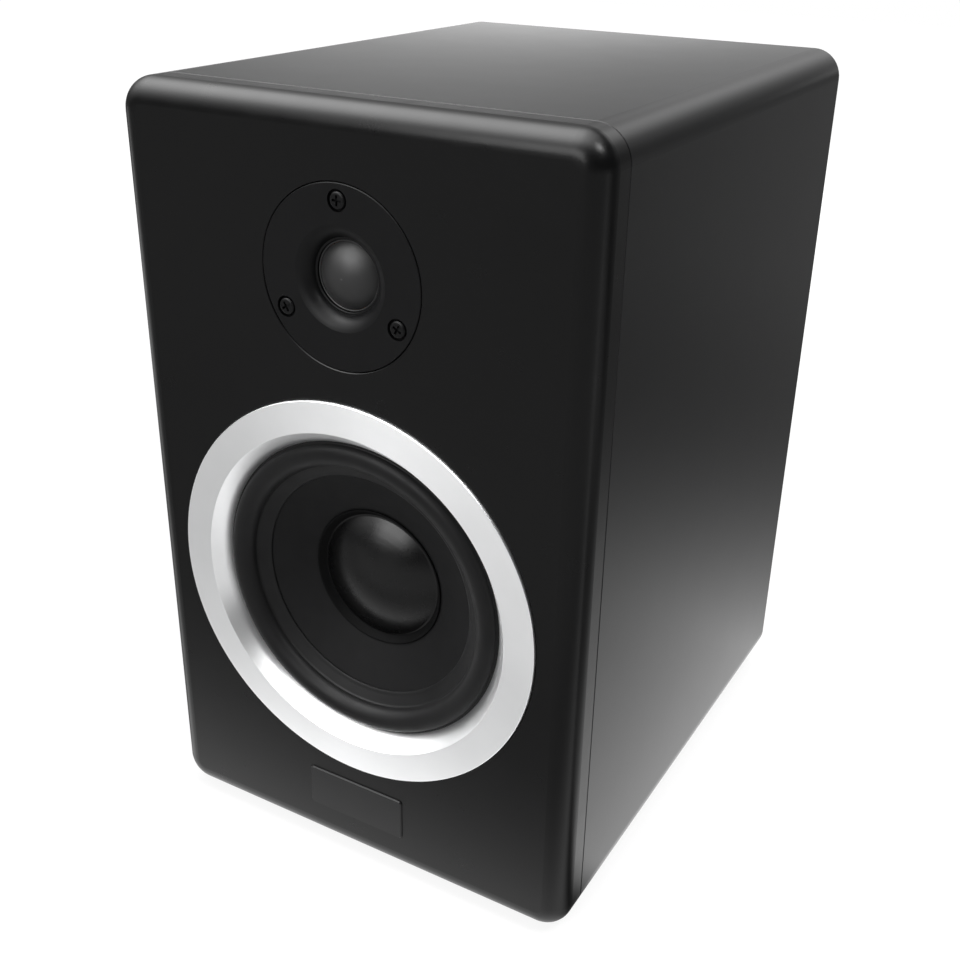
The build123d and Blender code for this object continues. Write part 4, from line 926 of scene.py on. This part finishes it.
class LOUDSPEAKER_OT_woofer_motor(Operator):
    """Finish the woofer's basket, motor, coil and screws"""

    bl_idname = "loudspeaker.woofer_motor"
    bl_label = "Woofer motor"

    def execute(self, context):
        tints = context.scene.loudspeaker_colours
        dress(moulded_plastic("basket_powder_coat", tints.powder, 0.55), "woofer_basket")
        dress(moulded_plastic("coil_former_kraft", tints.former, 0.5), "woofer_coil_former")
        dress(moulded_plastic("tag_board_laminate", tints.circuit, 0.5), "woofer_tag_board")
        dress_motor("woofer", tints, "motor_zinc")
        return {"FINISHED"}


class LOUDSPEAKER_OT_tweeter(Operator):
    """Finish the tweeter and model the soft edge of its dome"""

    bl_idname = "loudspeaker.tweeter"
    bl_label = "Tweeter"

    def execute(self, context):
        sizes = context.scene.loudspeaker_sizes
        tints = context.scene.loudspeaker_colours
        dress(moulded_plastic("faceplate_plastic", tints.plastic, 0.42, 0.115), "tweeter_faceplate")
        dress(moulded_plastic("dome_ring_plastic", tints.plastic, 0.36, 0.12), "tweeter_dome_ring")
        dress(doped_silk("dome_silk", tints.silk, TWEETER_CENTRE), "tweeter_dome")
        dress(moulded_plastic("tweeter_former_black", tints.powder, 0.5), "tweeter_coil_former")
        dress_motor("tweeter", tints, "tweeter_zinc")

        inner = sizes.dome_radius + GLUE
        clamp = sizes.dome_radius + 0.0009
        silk = 0.0005
        bulge = 0.0002
        front = [(sizes.soft_edge_outer, sizes.soft_edge_depth), (clamp, sizes.soft_edge_depth)]
        for k in range(1, EDGE_STEPS + 1):
            share = k / EDGE_STEPS
            radius = clamp + (inner - clamp) * share
            front.append((radius, sizes.soft_edge_depth - bulge * math.sin(math.pi * share)))
        back_depth = sizes.soft_edge_depth + silk
        back = [(inner, back_depth), (clamp, back_depth), (sizes.soft_edge_outer, back_depth)]
        edge = turned("soft_dome_edge", front + back, TWEETER_HEIGHT, SOFT_STEPS)
        edge.data.materials.append(doped_silk("edge_silk", tints.silk, TWEETER_CENTRE))
        hang_between(edge, "tweeter_diaphragm", TWEETER_HEIGHT, clamp, inner)
        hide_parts("tweeter_surround")
        return {"FINISHED"}


class LOUDSPEAKER_OT_rear(Operator):
    """Finish the rear port, the terminal cup and the binding posts"""

    bl_idname = "loudspeaker.rear"
    bl_label = "Port and terminals"

    def execute(self, context):
        tints = context.scene.loudspeaker_colours
        dress(moulded_plastic("port_plastic", tints.rear_plastic, 0.45), "port_tube")
        dress(moulded_plastic("cup_plastic", tints.rear_plastic, 0.4), "terminal_cup")
        dress(blackened_steel("terminal_screw_oxide", tints.oxide), "terminal_screws")
        metal = bare_metal("post_gilding", tints.gold, 0.2)
        dress(metal, "post_stud_red", "post_stud_black", "post_insert_red", "post_insert_black")
        dress(metal, "post_lock_nuts", "post_solder_tags")
        red = clear_coloured_plastic("red_post_plastic", tints.red_plastic)
        dress(red, "post_cap_red", "post_collar_red")
        black = clear_coloured_plastic("black_post_plastic", tints.plastic)
        dress(black, "post_cap_black", "post_collar_black")
        return {"FINISHED"}


class LOUDSPEAKER_OT_crossover(Operator):
    """Finish the crossover and the leads inside the cabinet"""

    bl_idname = "loudspeaker.crossover"
    bl_label = "Crossover and leads"

    def execute(self, context):
        tints = context.scene.loudspeaker_colours
        dress(moulded_plastic("crossover_laminate", tints.circuit, 0.45), "crossover_board")
        black = moulded_plastic("standoff_plastic", tints.plastic, 0.5)
        dress(black, "crossover_standoffs", "inductor_bobbins")
        dress(bare_metal("board_screw_zinc", tints.zinc, 0.3), "crossover_screws")
        dress(wound_wire("inductor_copper", tints.copper), "inductor_windings")
        dress(clear_coloured_plastic("capacitor_film", tints.capacitor), "film_capacitors")
        dress(rough_body("resistor_ceramic", tints.ceramic, 0.75, 0.0008, 0.00005), "crossover_resistor")
        leads = ("input_leads", "woofer_leads", "tweeter_leads")
        dress(moulded_plastic("lead_sleeve", tints.sleeve, 0.38), *leads)
        return {"FINISHED"}


def lay_floor(stage):
    """Floor: white to the camera, with the object's soft shadow, and painted pools of light that only
    reflections see.
    """
    shape = bmesh.new()
    bmesh.ops.create_grid(shape, x_segments=8, y_segments=8, size=stage.floor_size / 2)
    floor = show_shape("studio_floor", shape)
    floor.location.z = -FLOOR_DROP
    paper = StageTree(bpy.data.materials.new("pale_floor"), "ShaderNodeOutputMaterial")
    rays = paper.add("ShaderNodeLightPath").outputs
    paint = paper.add("ShaderNodeBsdfDiffuse", {"Color": FLOOR_PAINT}).outputs[0]
    here = paper.add("ShaderNodeTexCoord").outputs["Object"]
    distance = paper.add("ShaderNodeVectorMath", {0: here}, operation="LENGTH").outputs["Value"]
    brightness = paper.spread(distance, FLOOR_WHITE, (stage.backdrop, 1.0))
    white = paper.shine("ShaderNodeEmission", brightness)
    # Painted pools of light: the floor glows in them, but only to reflections
    pool = paper.shine("ShaderNodeEmission", painted_pools_of_light(paper, stage, here))
    shaded = paper.blend(PAINT_HIDDEN, paint, None)
    seen = paper.add("ShaderNodeAddShader", {0: white, 1: shaded}).outputs[0]
    mirrored = paper.blend(rays["Is Glossy Ray"], paint, pool)
    paper.finish(paper.blend(rays["Is Camera Ray"], mirrored, seen))
    floor.data.materials.append(paper.owner)


def painted_pools_of_light(paper, stage, here):
    """Painted pools of light on the floor, seen only in reflections: round the base, in front, far off and
    aside.
    """
    places = paper.add("ShaderNodeSeparateXYZ", {0: here}).outputs
    y = places["Y"]
    outward = paper.sum("ABSOLUTE", places["X"])
    half = CAD_BOX[1]
    beside = paper.sum("MAXIMUM", paper.sum("SUBTRACT", outward, half.x), 0.0)
    beyond = paper.sum("MAXIMUM", paper.sum("SUBTRACT", paper.sum("ABSOLUTE", y), half.y), 0.0)
    squares = paper.total(paper.sum("POWER", beside, 2.0), paper.sum("POWER", beyond, 2.0))
    around = paper.fade(paper.sum("SQRT", squares), stage.pool_side, stage.side_reach)
    before = paper.sum("SUBTRACT", CAD_BOX[0].y, y)
    side = paper.product(around, paper.spread(before, POOL_BESIDE))
    base = paper.fade(before, stage.pool_base, stage.base_reach)
    base = paper.product(base, paper.spread(before, POOL_AHEAD))
    left = POOL_LEFT_SHARE * stage.pool_front
    front = paper.spread(paper.along(here, POOL_TOWARD), POOL_RIGHT, (left, stage.pool_front))
    front = paper.product(front, paper.spread(before, POOL_FRONT))
    far = paper.spread(y, FAR_BEHIND, (stage.pool_far, stage.pool_behind))
    aside = paper.spread(outward, ASIDE_OUTWARD, (0.0, stage.pool_aside))
    aside = paper.product(aside, paper.spread(y, ASIDE_FRONT), paper.spread(y, ASIDE_BACK))
    return paper.total(side, base, front, far, aside)


def stand_card(stage):
    """Card that glows behind the top's left, though it is no lamp; seen only in reflections, it paints a lit
    reflection on the top.
    """
    shape = bmesh.new()
    left, right = CARD_SIDES
    low, high = CARD_HEIGHTS
    corners = [(left, low), (right, low), (right, high), (left, high)]
    shape.faces.new([shape.verts.new((x, CARD_DEPTH, z)) for x, z in corners])
    card = show_shape("studio_card", shape)
    card.visible_camera = False
    card.visible_diffuse = False
    card.visible_shadow = False
    sheet = StageTree(bpy.data.materials.new("glowing_card"), "ShaderNodeOutputMaterial")
    here = sheet.add("ShaderNodeTexCoord").outputs["Object"]
    height = sheet.add("ShaderNodeSeparateXYZ", {0: here}).outputs["Z"]
    strength = sheet.spread(sheet.along(here, CARD_SLANT), CARD_SLANT_FADE, (0.0, stage.card))
    strength = sheet.product(strength, sheet.spread(height, CARD_HEIGHT_FADE))
    # Painted glow of the card, seen only in reflections
    glow = sheet.shine("ShaderNodeEmission", strength)
    clear = sheet.add("ShaderNodeBsdfTransparent").outputs[0]
    sheet.finish(sheet.add("ShaderNodeAddShader", {0: glow, 1: clear}).outputs[0])
    card.data.materials.append(sheet.owner)


def light_room(scene, stage):
    """White to the camera and plain light on the object; reflections see lit walls and a ceiling."""
    scene.world = bpy.data.worlds.new("studio_room")
    room = StageTree(scene.world, "ShaderNodeOutputWorld")
    rays = room.add("ShaderNodeLightPath").outputs
    toward = room.add("ShaderNodeTexCoord").outputs["Generated"]
    x, y, z = room.add("ShaderNodeSeparateXYZ", {0: toward}).outputs
    facing = room.spread(room.along(toward, GLOW_TOWARD), GLOW_FACING)
    glow = room.product(room.spread(z, GLOW_HEIGHT), facing, stage.wall)
    back = room.product(room.spread(x, *BACK_LEFT), room.spread(x, *BACK_RIGHT))
    back = room.product(back, room.spread(z, *BACK_LOW), room.spread(z, BACK_HIGH))
    back = room.product(back, room.spread(y, BACK_FACING, (0.0, stage.back_wall)))
    high = room.product(room.spread(z, PATCH_LOW), room.spread(z, PATCH_HIGH))
    near = room.product(room.spread(x, PATCH_LEFT), room.spread(x, PATCH_RIGHT))
    patch = room.product(high, near, room.spread(y, BACK_FACING, (0.0, stage.high_wall)))
    overhead = room.sum("MAXIMUM", room.along(toward, CEILING_TOWARD), 0.0)
    ceiling = room.product(room.sum("POWER", overhead, CEILING_FOCUS), stage.ceiling)
    strength = room.total(glow, back, patch, stage.dim_wall, ceiling)
    white = room.shine("ShaderNodeBackground", 1.0)
    plain = room.shine("ShaderNodeBackground", stage.room)
    mirrored = room.shine("ShaderNodeBackground", strength)
    unseen = room.blend(rays["Is Glossy Ray"], plain, mirrored)
    room.finish(room.blend(rays["Is Camera Ray"], unseen, white))


def hang_softbox(name, box, energy):
    """Rectangular softbox that faces a point."""
    place, aim, size = box
    lamp = bpy.data.lights.new(name, "AREA")
    lamp.shape = "RECTANGLE"
    lamp.size, lamp.size_y = size
    lamp.energy = energy
    softbox = show(name, lamp)
    softbox.location = place
    softbox.rotation_euler = (Vector(aim) - Vector(place)).to_track_quat("-Z", "Y").to_euler()
    softbox.visible_camera = False
    return softbox


def aim_camera(scene, stage):
    """Camera at the front, right and above."""
    camera = show("studio_camera", bpy.data.cameras.new("studio_camera"))
    camera.data.lens = stage.lens
    camera.data.sensor_width = SENSOR_WIDTH
    camera.data.clip_start = NEAR_CLIP
    forward = Vector(stage.camera_aim) - Vector(stage.camera_place)
    facing = forward.to_track_quat("-Z", "Y").to_matrix().to_4x4()
    turn = Matrix.Rotation(stage.camera_roll, 4, "Z")
    camera.matrix_world = Matrix.Translation(stage.camera_place) @ facing @ turn
    scene.camera = camera


class LOUDSPEAKER_OT_stage(Operator):
    """Set up the floor, the soft studio light and the camera"""

    bl_idname = "loudspeaker.stage"
    bl_label = "Stage"

    def execute(self, context):
        scene = context.scene
        stage = scene.loudspeaker_stage
        scene.view_settings.view_transform = "Standard"
        lay_floor(stage)
        light_room(scene, stage)
        hang_softbox("key_softbox", KEY_BOX, stage.key_power)
        hang_softbox("top_softbox", TOP_BOX, stage.top_power)
        hang_softbox("corner_softbox", CORNER_BOX, stage.corner_power)
        rear = hang_softbox("rear_softbox", REAR_BOX, stage.rear_power)
        rear.visible_glossy = False
        stand_card(stage)
        aim_camera(scene, stage)
        return {"FINISHED"}


class LOUDSPEAKER_PT_sidebar(Panel):
    """Sidebar list of the loudspeaker's pieces and stage"""

    bl_idname = "LOUDSPEAKER_PT_sidebar"
    bl_label = "Loudspeaker"
    bl_space_type = "VIEW_3D"
    bl_region_type = "UI"
    bl_category = "Loudspeaker"

    def draw(self, context):
        column = self.layout.column()
        for operator in OPERATORS:
            column.operator(operator.bl_idname)
        for name in GROUPS:
            settings = getattr(context.scene, name)
            for setting in settings.__annotations__:
                column.prop(settings, setting)


OPERATORS = (
    LOUDSPEAKER_OT_cabinet,
    LOUDSPEAKER_OT_trim_ring,
    LOUDSPEAKER_OT_woofer_diaphragm,
    LOUDSPEAKER_OT_woofer_motor,
    LOUDSPEAKER_OT_tweeter,
    LOUDSPEAKER_OT_rear,
    LOUDSPEAKER_OT_crossover,
    LOUDSPEAKER_OT_stage,
)
GROUPS = {
    "loudspeaker_sizes": LoudspeakerSizes,
    "loudspeaker_colours": LoudspeakerColours,
    "loudspeaker_stage": LoudspeakerStage,
}


def register():
    for name, group in GROUPS.items():
        bpy.utils.register_class(group)
        setattr(bpy.types.Scene, name, PointerProperty(type=group))
    for kind in (*OPERATORS, LOUDSPEAKER_PT_sidebar):
        bpy.utils.register_class(kind)


def unregister():
    for kind in (LOUDSPEAKER_PT_sidebar, *reversed(OPERATORS)):
        bpy.utils.unregister_class(kind)
    for name, group in reversed(GROUPS.items()):
        delattr(bpy.types.Scene, name)
        bpy.utils.unregister_class(group)


def main():
    """Dresses the loudspeaker and sets up its stage."""
    register()
    bpy.ops.loudspeaker.cabinet()
    bpy.ops.loudspeaker.trim_ring()
    bpy.ops.loudspeaker.woofer_diaphragm()
    bpy.ops.loudspeaker.woofer_motor()
    bpy.ops.loudspeaker.tweeter()
    bpy.ops.loudspeaker.rear()
    bpy.ops.loudspeaker.crossover()
    bpy.ops.loudspeaker.stage()


if __name__ == "__main__":
    main()
